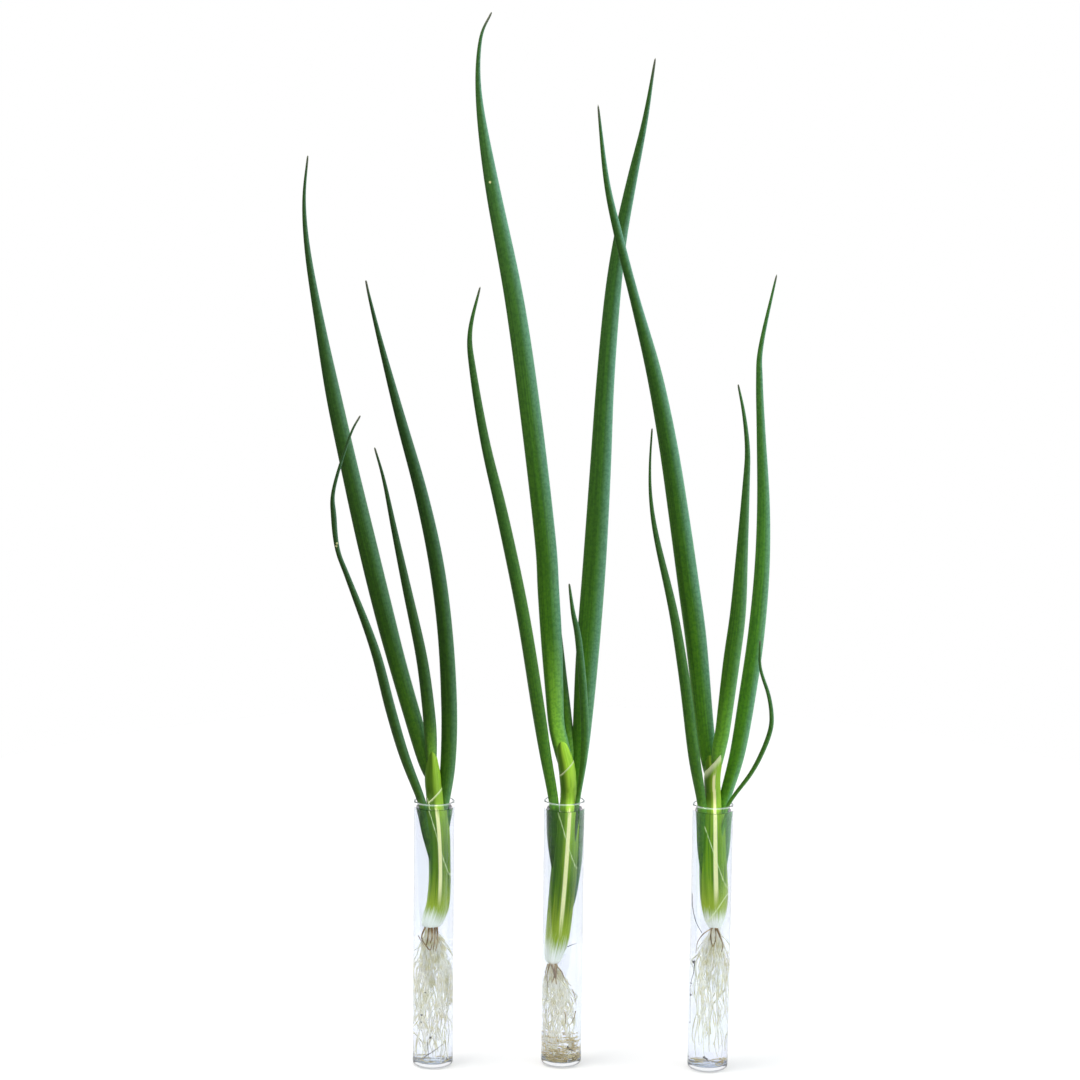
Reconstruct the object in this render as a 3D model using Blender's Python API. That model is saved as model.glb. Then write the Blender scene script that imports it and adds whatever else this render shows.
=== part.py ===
"""Three spring onion plants, each standing with its roots in a slim glass tube of water.

The tubes stand in a row along X on the plane Z = 0. The middle tube's foot is the origin,
the leaves fan out along X, and -Y is the front. Lengths below are in millimetres and are
turned into metres where a mesh is made.
"""

import math
import random

import bmesh
import bpy
import numpy as np
from mathutils import Matrix, Vector

MM = 0.001

# Clear space between pieces that touch
GAP = 0.3

# Glass tubes
TUBE_RADIUS = 10.0
TUBE_WALL = 1.0
TUBE_HEIGHT = 134.5
TUBE_FLOOR = 2.0
FOOT_ROUNDING = 1.6
INNER_ROUNDING = 2.0
TURNED_SIDES = 24
ARC_STEPS = 3

# Water, with a plain hole that the plant stands in
WATER_RADIUS = TUBE_RADIUS - TUBE_WALL - GAP
HOLE_RADIUS = 7.4
HOLE_TOP_RADIUS = 8.15
HOLE_FLARE_START = 104.0
HOLE_FLOOR = 4.0

# Leaves: a flattened tube, whose depth is a share of its width
LEAF_SIDES = 10
LEAF_DEPTH = 0.56
LEAF_THINNEST = 0.8
STEM_SIDES = 14
LEAF_STEPS = 2

# Roots: wavy strands that hang from a small round plate under the stem
ROOT_STRANDS = 17
ROOT_THICKNESS = 1.1
ROOT_SIDES = 4
ROOT_STEPS = 1
ROOT_TURNS = 6
ROOT_REACH = 5.9
ROOT_LOWEST = 5.2
ROOT_LENGTH_SPREAD = 0.45
ROOT_LEAST_REACH = 0.45
ROOT_WAVE = 1.3
ROOT_FULL_WAVE_SHARE = 0.5
ROOT_START_SPREAD = 0.3
ROOT_DRIFT = 0.35
ROOT_OPENING = 2.2
ROOT_TAPER = 0.25
PLATE_DEPTH = 2.4
PLATE_TAPER = 0.8

# Points of a spun mesh that are closer than this are one point
WELD = 0.01

# Each stem route is (x, y, z, width) from the bulb's underside to the collar. Each leaf
# route is (x, y, z, width) from its base to its tip. Both are measured from the tube's foot.
# The first leaf of a plant grows out of the top of its stem, and the other leaves leave
# the stem's side. All the leaf routes start inside the stem.
LEFT_STEM = [
    (-1.0, 0.0, 70.5, 5.4),
    (-0.8, 0.0, 72.5, 7.4),
    (0.5, 0.0, 77.0, 8.6),
    (1.8, 0.0, 84.0, 8.6),
    (2.3, 0.0, 99.0, 8.0),
    (1.7, 0.0, 118.0, 8.4),
    (0.3, 0.0, 134.0, 8.2),
    (-1.2, 0.2, 148.0, 8.2),
]
LEFT_LEAVES = {
    "left_leaf_tall": [
        (-1.0, 0.2, 146.5, 7.6),
        (-5.5, 1.0, 158.0, 8.4),
        (-17.5, 4.5, 197.5, 8.8),
        (-25.5, 7.0, 226.5, 9.6),
        (-34.5, 11.0, 261.5, 9.6),
        (-43.0, 15.0, 296.5, 8.6),
        (-51.0, 19.0, 331.0, 7.6),
        (-58.0, 22.0, 366.0, 5.0),
        (-64.0, 24.0, 400.5, 3.0),
        (-66.0, 25.0, 425.5, 1.8),
        (-64.0, 25.0, 447.5, 0.9),
    ],
    "left_leaf_right": [
        (2.6, 0.6, 112.0, 3.4),
        (4.3, 1.0, 132.0, 6.0),
        (6.5, 2.0, 152.0, 7.6),
        (7.0, 1.0, 179.5, 8.0),
        (5.0, -2.0, 217.0, 7.6),
        (0.5, -6.0, 253.0, 7.4),
        (-7.0, -10.0, 288.5, 6.4),
        (-16.5, -14.0, 323.5, 5.0),
        (-25.5, -17.0, 358.0, 2.8),
        (-31.0, -19.0, 380.5, 1.5),
        (-33.0, -20.0, 390.0, 0.9),
    ],
    "left_leaf_curled": [
        (0.6, -1.4, 102.0, 3.2),
        (-2.7, -1.6, 118.0, 4.0),
        (-5.8, -1.4, 133.0, 4.2),
        (-14.6, -3.0, 157.0, 5.0),
        (-21.5, -6.0, 181.5, 5.2),
        (-29.0, -9.0, 211.5, 4.6),
        (-41.5, -12.0, 246.0, 2.8),
        (-46.7, -13.0, 260.5, 2.4),
        (-48.5, -13.0, 276.5, 2.8),
        (-48.5, -13.0, 290.0, 1.8),
        (-41.0, -11.0, 315.0, 1.2),
        (-36.0, -10.0, 325.0, 0.9),
    ],
    "left_leaf_young": [
        (-1.0, -1.4, 143.0, 3.6),
        (-1.8, -2.5, 165.0, 6.2),
        (-3.2, -4.0, 183.0, 6.2),
        (-6.5, -6.5, 208.0, 5.6),
        (-13.5, -10.0, 241.5, 4.4),
        (-19.5, -12.0, 270.0, 3.0),
        (-24.5, -14.0, 294.5, 1.7),
        (-29.0, -15.0, 310.5, 0.9),
    ],
}
MIDDLE_STEM = [
    (-3.7, 0.0, 52.0, 4.6),
    (-3.6, 0.0, 53.5, 6.2),
    (-3.0, 0.0, 58.0, 7.8),
    (-2.0, 0.0, 65.0, 9.0),
    (-0.7, 0.0, 84.0, 9.4),
    (0.5, 0.0, 105.0, 9.2),
    (1.5, 0.0, 134.0, 8.0),
    (0.8, 0.0, 152.0, 8.2),
]
MIDDLE_LEAVES = {
    "middle_leaf_tall": [
        (0.9, 0.0, 150.5, 7.6),
        (-4.2, 0.5, 171.0, 11.0),
        (-7.0, 3.0, 214.0, 11.0),
        (-11.0, 8.0, 262.5, 10.6),
        (-18.5, 15.0, 320.5, 10.5),
        (-27.5, 23.0, 378.5, 9.5),
        (-39.5, 30.0, 436.0, 7.0),
        (-46.0, 34.0, 477.0, 3.2),
        (-45.5, 35.0, 503.5, 1.7),
        (-40.0, 35.0, 517.0, 0.9),
    ],
    "middle_leaf_right": [
        (2.4, 1.0, 80.0, 2.6),
        (3.2, 1.3, 88.0, 3.6),
        (4.1, 1.6, 104.0, 5.0),
        (4.35, 2.2, 120.0, 5.4),
        (4.9, 2.6, 134.0, 6.0),
        (7.6, 4.4, 160.0, 8.6),
        (10.2, 7.0, 203.5, 11.4),
        (13.2, 10.0, 250.5, 11.6),
        (15.5, 13.0, 297.5, 10.5),
        (17.2, 15.0, 338.5, 9.0),
        (20.0, 16.0, 379.5, 8.0),
        (23.3, 15.0, 408.5, 6.6),
        (28.5, 12.0, 437.5, 5.0),
        (34.2, 9.0, 466.0, 2.8),
        (38.5, 6.0, 495.5, 0.9),
    ],
    "middle_leaf_left": [
        (-2.2, -0.6, 96.0, 3.6),
        (-4.4, -0.8, 116.0, 4.8),
        (-5.2, -0.8, 133.0, 5.0),
        (-9.6, -1.5, 157.0, 5.8),
        (-13.6, -4.0, 181.5, 6.6),
        (-21.6, -11.0, 230.0, 6.4),
        (-31.7, -18.0, 278.0, 5.8),
        (-40.0, -23.0, 313.0, 4.6),
        (-46.1, -27.0, 347.5, 3.4),
        (-47.7, -28.0, 366.5, 2.2),
        (-43.0, -28.0, 388.0, 0.9),
    ],
    "middle_leaf_front": [
        (3.2, -2.2, 110.0, 1.8),
        (6.3, -2.8, 134.0, 2.2),
        (9.4, -4.5, 160.5, 3.6),
        (8.8, -6.5, 184.5, 4.0),
        (5.7, -9.0, 216.0, 3.4),
        (2.8, -10.0, 230.0, 2.2),
        (0.7, -11.0, 244.5, 1.0),
    ],
    "middle_leaf_young": [
        (1.6, 1.2, 145.0, 3.2),
        (2.2, 3.4, 158.5, 4.6),
        (1.2, 6.4, 172.0, 4.6),
        (-1.2, 9.4, 192.0, 4.0),
        (-3.4, 12.0, 214.0, 2.6),
        (-5.9, 14.0, 235.0, 1.0),
    ],
}
RIGHT_STEM = [
    (1.8, 0.0, 72.0, 4.4),
    (1.7, 0.0, 73.5, 5.6),
    (1.5, 0.0, 77.0, 7.8),
    (1.2, 0.0, 84.0, 9.6),
    (1.0, 0.0, 92.0, 10.3),
    (0.5, 0.0, 108.0, 9.8),
    (0.0, 0.0, 134.0, 8.2),
    (-0.8, 0.2, 150.0, 8.2),
]
RIGHT_LEAVES = {
    "right_leaf_tall": [
        (-0.7, 0.2, 148.5, 7.6),
        (-3.2, 1.2, 161.0, 8.8),
        (-5.6, 1.0, 178.5, 9.4),
        (-10.2, -2.0, 216.5, 10.6),
        (-14.3, -5.0, 242.5, 10.6),
        (-20.0, -9.0, 278.0, 10.0),
        (-26.2, -14.0, 313.5, 9.0),
        (-33.7, -19.0, 348.0, 7.4),
        (-43.4, -24.0, 382.5, 4.8),
        (-51.5, -28.0, 411.5, 4.2),
        (-57.8, -30.0, 438.0, 2.8),
        (-62.3, -31.0, 473.0, 0.9),
    ],
    "right_leaf_right": [
        (2.4, 0.8, 94.0, 4.0),
        (4.0, 1.0, 112.0, 4.8),
        (5.1, 1.0, 133.0, 5.6),
        (11.4, 3.0, 158.0, 7.6),
        (15.9, 6.0, 186.5, 8.4),
        (19.8, 9.0, 216.5, 8.3),
        (22.2, 12.0, 249.0, 7.6),
        (22.4, 15.0, 281.0, 6.4),
        (20.5, 17.0, 316.5, 4.4),
        (19.2, 18.0, 341.5, 3.4),
        (19.6, 18.0, 358.5, 2.4),
        (26.3, 16.0, 393.5, 0.9),
    ],
    "right_leaf_middle": [
        (-0.2, -2.0, 143.0, 4.0),
        (1.4, -4.2, 162.0, 6.0),
        (4.0, -5.5, 181.5, 7.6),
        (7.0, -7.0, 207.5, 8.3),
        (9.5, -8.0, 231.5, 7.8),
        (10.7, -9.0, 261.0, 5.8),
        (11.8, -10.0, 293.0, 3.6),
        (12.0, -11.0, 310.5, 2.6),
        (9.9, -12.0, 327.5, 1.8),
        (6.6, -13.0, 342.5, 0.9),
    ],
    "right_leaf_left": [
        (-1.6, -1.2, 94.0, 3.6),
        (-4.0, -1.6, 112.0, 4.2),
        (-5.4, -2.0, 133.0, 4.6),
        (-10.1, -4.0, 159.0, 5.8),
        (-15.3, -6.0, 195.5, 5.4),
        (-21.7, -8.0, 231.0, 4.4),
        (-30.4, -10.0, 266.5, 2.8),
        (-33.7, -11.0, 286.0, 1.8),
        (-34.5, -12.0, 303.0, 1.2),
        (-33.8, -12.0, 321.0, 0.9),
    ],
    "right_leaf_curled": [
        (2.2, -2.4, 114.0, 1.4),
        (6.6, -3.4, 133.5, 1.8),
        (17.3, -6.0, 150.5, 2.2),
        (22.7, -8.0, 162.0, 2.4),
        (26.3, -9.0, 173.0, 2.4),
        (27.0, -9.0, 181.0, 2.2),
        (25.2, -8.0, 191.0, 1.9),
        (21.0, -6.8, 204.0, 1.5),
        (20.6, -6.5, 217.5, 0.9),
    ],
}

# Each plant: foot of its tube, height of the water, stem, leaves and seed of its roots
PLANTS = {
    "left": ((-64.0, -4.0), 131.0, LEFT_STEM, LEFT_LEAVES, 3),
    "middle": ((0.0, 0.0), 130.0, MIDDLE_STEM, MIDDLE_LEAVES, 7),
    "right": ((73.0, -4.0), 131.0, RIGHT_STEM, RIGHT_LEAVES, 11),
}

# Colour, roughness and opacity
GLASS = ((0.90, 0.92, 0.95), 0.02, 0.3)
WATER = ((0.86, 0.91, 0.94), 0.02, 0.3)
BULB_GREEN = ((0.42, 0.55, 0.20), 0.40, 1.0)
LEAF_GREEN = ((0.08, 0.19, 0.05), 0.45, 1.0)
ROOT_WHITE = ((0.82, 0.82, 0.74), 0.55, 1.0)


def clear_scene():
    """Remove every object that is in the file."""
    for item in list(bpy.data.objects):
        bpy.data.objects.remove(item, do_unlink=True)


def material(name, finish):
    """Give a piece its own Principled finish."""
    colour, roughness, opacity = finish
    made = bpy.data.materials.new(name)
    made.use_nodes = True
    shader = made.node_tree.nodes["Principled BSDF"]
    shader.inputs["Base Color"].default_value = (*colour, 1.0)
    shader.inputs["Roughness"].default_value = roughness
    shader.inputs["Metallic"].default_value = 0.0
    shader.inputs["Alpha"].default_value = opacity
    return made


def add_object(name, mesh_maker, finish=None):
    """Turn a bmesh into a named object, and give it a finish if it has one."""
    mesh = bpy.data.meshes.new(name)
    bmesh.ops.recalc_face_normals(mesh_maker, faces=mesh_maker.faces)
    mesh_maker.to_mesh(mesh)
    mesh_maker.free()
    mesh.shade_smooth()
    made = bpy.data.objects.new(name, mesh)
    bpy.context.scene.collection.objects.link(made)
    if finish:
        mesh.materials.append(material(name, finish))
    return made


def arc(centre_radius, centre_height, radius, start, end):
    """Points of a turned profile's round corner, between two angles in degrees."""
    angles = np.radians(np.linspace(start, end, ARC_STEPS + 1))
    return [
        (centre_radius + radius * math.cos(a), centre_height + radius * math.sin(a))
        for a in angles
    ]


def turned(name, profile, foot, finish):
    """Spin a profile of (radius, height) points, which starts and ends on the axis."""
    maker = bmesh.new()
    points = [maker.verts.new((r * MM, 0.0, z * MM)) for r, z in profile]
    edges = [maker.edges.new(pair) for pair in zip(points, points[1:])]
    bmesh.ops.spin(
        maker,
        geom=points + edges,
        axis=(0.0, 0.0, 1.0),
        cent=(0.0, 0.0, 0.0),
        angle=math.tau,
        steps=TURNED_SIDES,
    )
    bmesh.ops.remove_doubles(maker, verts=maker.verts, dist=WELD * MM)
    made = add_object(name, maker, finish)
    made.location = (foot[0] * MM, foot[1] * MM, 0.0)
    return made


def make_tube(side, foot):
    """A flat-bottomed glass tube with a rounded foot and rim."""
    inner = TUBE_RADIUS - TUBE_WALL
    rim = TUBE_WALL / 2
    profile = [(0.0, 0.0)]
    profile += arc(TUBE_RADIUS - FOOT_ROUNDING, FOOT_ROUNDING, FOOT_ROUNDING, -90, 0)
    profile += arc(TUBE_RADIUS - rim, TUBE_HEIGHT - rim, rim, 0, 180)
    profile += arc(inner - INNER_ROUNDING, TUBE_FLOOR + INNER_ROUNDING, INNER_ROUNDING, 0, -90)
    profile += [(0.0, TUBE_FLOOR)]
    return turned(side + "_tube", profile, foot, GLASS)


def make_water(side, foot, level):
    """The water in a tube, with the hole that roots, stem and leaf bases stand in."""
    floor = TUBE_FLOOR + GAP
    corner = WATER_RADIUS - INNER_ROUNDING
    profile = [(0.0, floor)]
    profile += arc(corner, floor + INNER_ROUNDING, INNER_ROUNDING, -90, 0)
    profile += [
        (WATER_RADIUS, level),
        (HOLE_TOP_RADIUS, level),
        (HOLE_RADIUS, HOLE_FLARE_START),
        (HOLE_RADIUS, HOLE_FLOOR),
        (0.0, HOLE_FLOOR),
    ]
    return turned(side + "_water", profile, foot, WATER)


def smooth_route(route, steps):
    """Rows on a smooth curve through every row of a route."""
    rows = np.array(route)
    before = np.vstack([2 * rows[0] - rows[1], rows[:-1]])
    after = np.vstack([rows[1:], 2 * rows[-1] - rows[-2]])
    slopes = (after - before) / 2
    curve = []
    for start, end, leave, arrive in zip(rows, rows[1:], slopes, slopes[1:]):
        for t in np.arange(steps) / steps:
            curve.append(
                (2 * t**3 - 3 * t**2 + 1) * start
                + (t**3 - 2 * t**2 + t) * leave
                + (3 * t**2 - 2 * t**3) * end
                + (t**3 - t**2) * arrive
            )
    return np.array(curve + [rows[-1]])


def sweep(maker, route, sides, steps, depth, grow):
    """Add a closed tube along a route of (x, y, z, width), longer and fatter by grow."""
    curve = smooth_route(route, steps)
    centres = [Vector(row[:3]) for row in curve]
    tangents = [
        (after - before).normalized()
        for before, after in zip(centres[:1] + centres[:-1], centres[1:] + centres[-1:])
    ]
    centres[0] -= tangents[0] * grow
    centres[-1] += tangents[-1] * grow
    last_ring = None
    for centre, tangent, width in zip(centres, tangents, curve[:, 3]):
        across = Vector((0.0, 1.0, 0.0)).cross(tangent).normalized()
        front = tangent.cross(across)
        half_width = width / 2 + grow
        half_depth = max(width * depth, LEAF_THINNEST) / 2 + grow
        place = Matrix.Identity(4)
        place.col[0].xyz = across * half_width
        place.col[1].xyz = front * half_depth
        place.col[2].xyz = tangent
        place.col[3].xyz = centre
        place = Matrix.Scale(MM, 4) @ place
        made = bmesh.ops.create_circle(maker, segments=sides, radius=1.0, matrix=place)
        ring = list({edge for vert in made["verts"] for edge in vert.link_edges})
        if last_ring:
            bmesh.ops.bridge_loops(maker, edges=last_ring + ring)
        last_ring = ring
    bmesh.ops.holes_fill(maker, edges=maker.edges, sides=sides)


def swept(name, route, foot, sides, steps=LEAF_STEPS, depth=1.0, grow=0.0, finish=None):
    """A swept piece of a plant, placed over its tube's foot."""
    maker = bmesh.new()
    sweep(maker, route, sides, steps, depth, grow)
    bmesh.ops.translate(maker, vec=(foot[0] * MM, foot[1] * MM, 0.0), verts=maker.verts)
    return add_object(name, maker, finish)


def apply_modifiers(piece):
    """Replace a piece's mesh by what its modifiers make of it."""
    graph = bpy.context.evaluated_depsgraph_get()
    mesh = bpy.data.meshes.new_from_object(piece.evaluated_get(graph))
    piece.modifiers.clear()
    piece.data = mesh


def cut(piece, cutters):
    """Cut a piece back from its neighbours, and drop loose scraps."""
    for cutter in cutters:
        boolean = piece.modifiers.new("clear_of_" + cutter.name, "BOOLEAN")
        boolean.operation = "DIFFERENCE"
        boolean.solver = "EXACT"
        boolean.object = cutter
    apply_modifiers(piece)
    keep_largest_body(piece)


def keep_largest_body(piece):
    """Delete every body of a mesh but the one with the most points."""
    maker = bmesh.new()
    maker.from_mesh(piece.data)
    left = set(maker.verts)
    bodies = []
    while left:
        body = {left.pop()}
        edge_of_search = list(body)
        while edge_of_search:
            vert = edge_of_search.pop()
            near = {edge.other_vert(vert) for edge in vert.link_edges} & left
            left -= near
            body |= near
            edge_of_search += near
        bodies.append(body)
    bodies.sort(key=len)
    scraps = [vert for body in bodies[:-1] for vert in body]
    bmesh.ops.delete(maker, geom=scraps, context="VERTS")
    maker.to_mesh(piece.data)
    maker.free()


def make_stem_and_leaves(side, foot, stem, leaves):
    """The stem, and its leaves, each cut clear of the stem and of the leaves before it."""
    swept(side + "_stem", stem, foot, STEM_SIDES, finish=BULB_GREEN)
    cutters = [swept(side + "_stem_room", stem, foot, STEM_SIDES, grow=GAP)]
    for name, route in leaves.items():
        leaf = swept(name, route, foot, LEAF_SIDES, depth=LEAF_DEPTH, finish=LEAF_GREEN)
        cut(leaf, cutters)
        room = swept(name + "_room", route, foot, LEAF_SIDES, depth=LEAF_DEPTH, grow=GAP)
        cutters.append(room)
    for cutter in cutters:
        bpy.data.objects.remove(cutter, do_unlink=True)


def root_route(draw, top_x, top_z, turn):
    """One strand, from inside the plate to its own depth, waving as it goes down."""
    length = (top_z - ROOT_LOWEST) * (1.0 - ROOT_LENGTH_SPREAD * draw.random() ** 2)
    reach = ROOT_REACH * (ROOT_LEAST_REACH + (1.0 - ROOT_LEAST_REACH) * draw.random())
    angle = turn + draw.uniform(-ROOT_START_SPREAD, ROOT_START_SPREAD)
    route = []
    for step in range(ROOT_TURNS + 1):
        share = step / ROOT_TURNS
        spread = min(1.0, ROOT_OPENING * share)
        wave = ROOT_WAVE * min(share, ROOT_FULL_WAVE_SHARE)
        x = top_x * (1.0 - spread) + reach * spread * math.cos(angle)
        y = reach * spread * math.sin(angle)
        x += draw.uniform(-wave, wave)
        y += draw.uniform(-wave, wave)
        out = max(1.0, math.hypot(x, y) / ROOT_REACH)
        width = ROOT_THICKNESS * (1.0 - ROOT_TAPER * share)
        route.append((x / out, y / out, top_z - length * share, width))
        angle += draw.uniform(-ROOT_DRIFT, ROOT_DRIFT)
    return route


def make_roots(side, foot, stem, seed):
    """The plate under the stem and its strands, fused into one body."""
    draw = random.Random(seed)
    top_x, _, stem_low, plate_width = stem[0]
    plate_top = stem_low - GAP
    plate_route = [
        (top_x, 0.0, plate_top - PLATE_DEPTH, plate_width * PLATE_TAPER),
        (top_x, 0.0, plate_top, plate_width),
    ]
    plate = swept(side + "_roots", plate_route, foot, STEM_SIDES, 1, finish=ROOT_WHITE)
    strands = bpy.data.collections.new(side + "_strands")
    bpy.context.scene.collection.children.link(strands)
    for strand in range(ROOT_STRANDS):
        turn = math.tau * strand / ROOT_STRANDS
        route = root_route(draw, top_x, plate_top - PLATE_DEPTH / 2, turn)
        hair = swept(side + "_strand", route, foot, ROOT_SIDES, ROOT_STEPS)
        bpy.context.scene.collection.objects.unlink(hair)
        strands.objects.link(hair)
    union = plate.modifiers.new("union", "BOOLEAN")
    union.operation = "UNION"
    union.operand_type = "COLLECTION"
    union.solver = "EXACT"
    union.collection = strands
    apply_modifiers(plate)
    for hair in list(strands.objects):
        bpy.data.objects.remove(hair, do_unlink=True)
    bpy.data.collections.remove(strands)
    keep_largest_body(plate)


def main():
    """Build the three plants, one after another."""
    clear_scene()
    for side, (foot, level, stem, leaves, seed) in PLANTS.items():
        make_tube(side, foot)
        make_water(side, foot, level)
        make_stem_and_leaves(side, foot, stem, leaves)
        make_roots(side, foot, stem, seed)


main()
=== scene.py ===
import math
import random

import bmesh
import bpy
import numpy as np
from mathutils import Matrix, Vector


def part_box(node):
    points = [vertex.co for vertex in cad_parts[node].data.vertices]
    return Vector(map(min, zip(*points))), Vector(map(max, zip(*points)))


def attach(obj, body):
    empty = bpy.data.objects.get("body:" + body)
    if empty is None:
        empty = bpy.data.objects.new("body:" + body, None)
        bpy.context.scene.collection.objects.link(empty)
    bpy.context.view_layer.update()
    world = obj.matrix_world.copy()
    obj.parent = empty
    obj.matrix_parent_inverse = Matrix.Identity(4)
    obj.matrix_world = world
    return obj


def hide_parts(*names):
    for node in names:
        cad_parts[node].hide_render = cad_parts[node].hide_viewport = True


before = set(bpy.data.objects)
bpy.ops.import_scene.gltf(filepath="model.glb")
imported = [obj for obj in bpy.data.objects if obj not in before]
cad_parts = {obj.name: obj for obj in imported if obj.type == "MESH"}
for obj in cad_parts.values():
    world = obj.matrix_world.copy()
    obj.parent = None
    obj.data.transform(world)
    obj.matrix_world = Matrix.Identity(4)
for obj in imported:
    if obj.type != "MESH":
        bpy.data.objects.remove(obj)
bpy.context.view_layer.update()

# Three spring onion plants in glass tubes of water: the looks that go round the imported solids.
# The frame is in metres. Routes and heights are in millimetres from the foot of the plant's tube.

bl_info = {
    "name": "Spring onions in water tubes",
    "version": (1, 0, 0),
    "blender": (4, 5, 0),
    "location": "3D View > Sidebar > Spring onions",
    "description": "Dresses three spring onion plants in glass tubes with fine meshes and materials",
    "category": "Object",
}

MM = 0.001
SIDES = ("left", "middle", "right")

# Each stem route is (x, y, z, width) from the bulb's underside to the collar, and each leaf
# route is (x, y, z, width) from its base inside the stem to its tip.
STEMS = {
    "left": [
        (-1.0, 0.0, 70.5, 5.4),
        (-0.8, 0.0, 72.5, 7.4),
        (0.5, 0.0, 77.0, 8.6),
        (1.8, 0.0, 84.0, 8.6),
        (2.3, 0.0, 99.0, 8.0),
        (1.7, 0.0, 118.0, 8.4),
        (0.3, 0.0, 134.0, 8.2),
        (-0.7, 0.1, 143.0, 7.9),
        (-1.2, 0.2, 148.0, 6.8),
    ],
    "middle": [
        (-3.7, 0.0, 52.0, 4.6),
        (-3.6, 0.0, 53.5, 6.2),
        (-3.0, 0.0, 58.0, 7.8),
        (-2.0, 0.0, 65.0, 9.0),
        (-0.7, 0.0, 84.0, 9.4),
        (0.5, 0.0, 105.0, 9.2),
        (1.8, 0.0, 134.0, 8.0),
        (1.6, 0.0, 145.0, 7.8),
        (0.9, 0.0, 152.0, 6.8),
    ],
    "right": [
        (1.8, 0.0, 72.0, 4.4),
        (1.7, 0.0, 73.5, 5.6),
        (1.5, 0.0, 77.0, 7.8),
        (1.2, 0.0, 84.0, 9.6),
        (1.0, 0.0, 92.0, 10.3),
        (0.5, 0.0, 108.0, 9.8),
        (0.0, 0.0, 134.0, 8.2),
        (-0.6, 0.1, 145.0, 7.8),
        (-0.8, 0.2, 150.0, 6.8),
    ],
}
# A collar carries a stem's top on, and ends as a tongue on the feet of the leaves
COLLARS = {
    "left": [
        (0.1, 0.0, 136.0, 7.6),
        (-0.6, -0.1, 142.0, 8.1),
        (-0.9, -0.4, 148.0, 7.7),
        (-1.0, -1.2, 153.0, 6.0),
        (-1.1, -2.0, 157.0, 4.4),
        (-1.3, -2.7, 162.0, 1.2),
    ],
    "middle": [
        (1.8, 0.0, 136.0, 7.4),
        (1.8, -0.1, 141.0, 8.0),
        (1.3, -0.2, 147.0, 8.1),
        (0.4, -0.3, 153.0, 8.0),
        (-0.8, -0.5, 158.0, 7.0),
        (-1.6, -0.4, 162.0, 5.2),
        (-2.1, -0.2, 165.0, 2.0),
    ],
    "right": [
        (-0.1, 0.0, 138.0, 7.4),
        (-0.5, 0.0, 143.0, 7.9),
        (-0.8, 0.0, 149.0, 7.8),
        (-1.6, 0.1, 154.0, 6.4),
        (-2.2, 0.2, 158.0, 3.8),
        (-2.5, 0.2, 160.0, 1.2),
    ],
}
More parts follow.
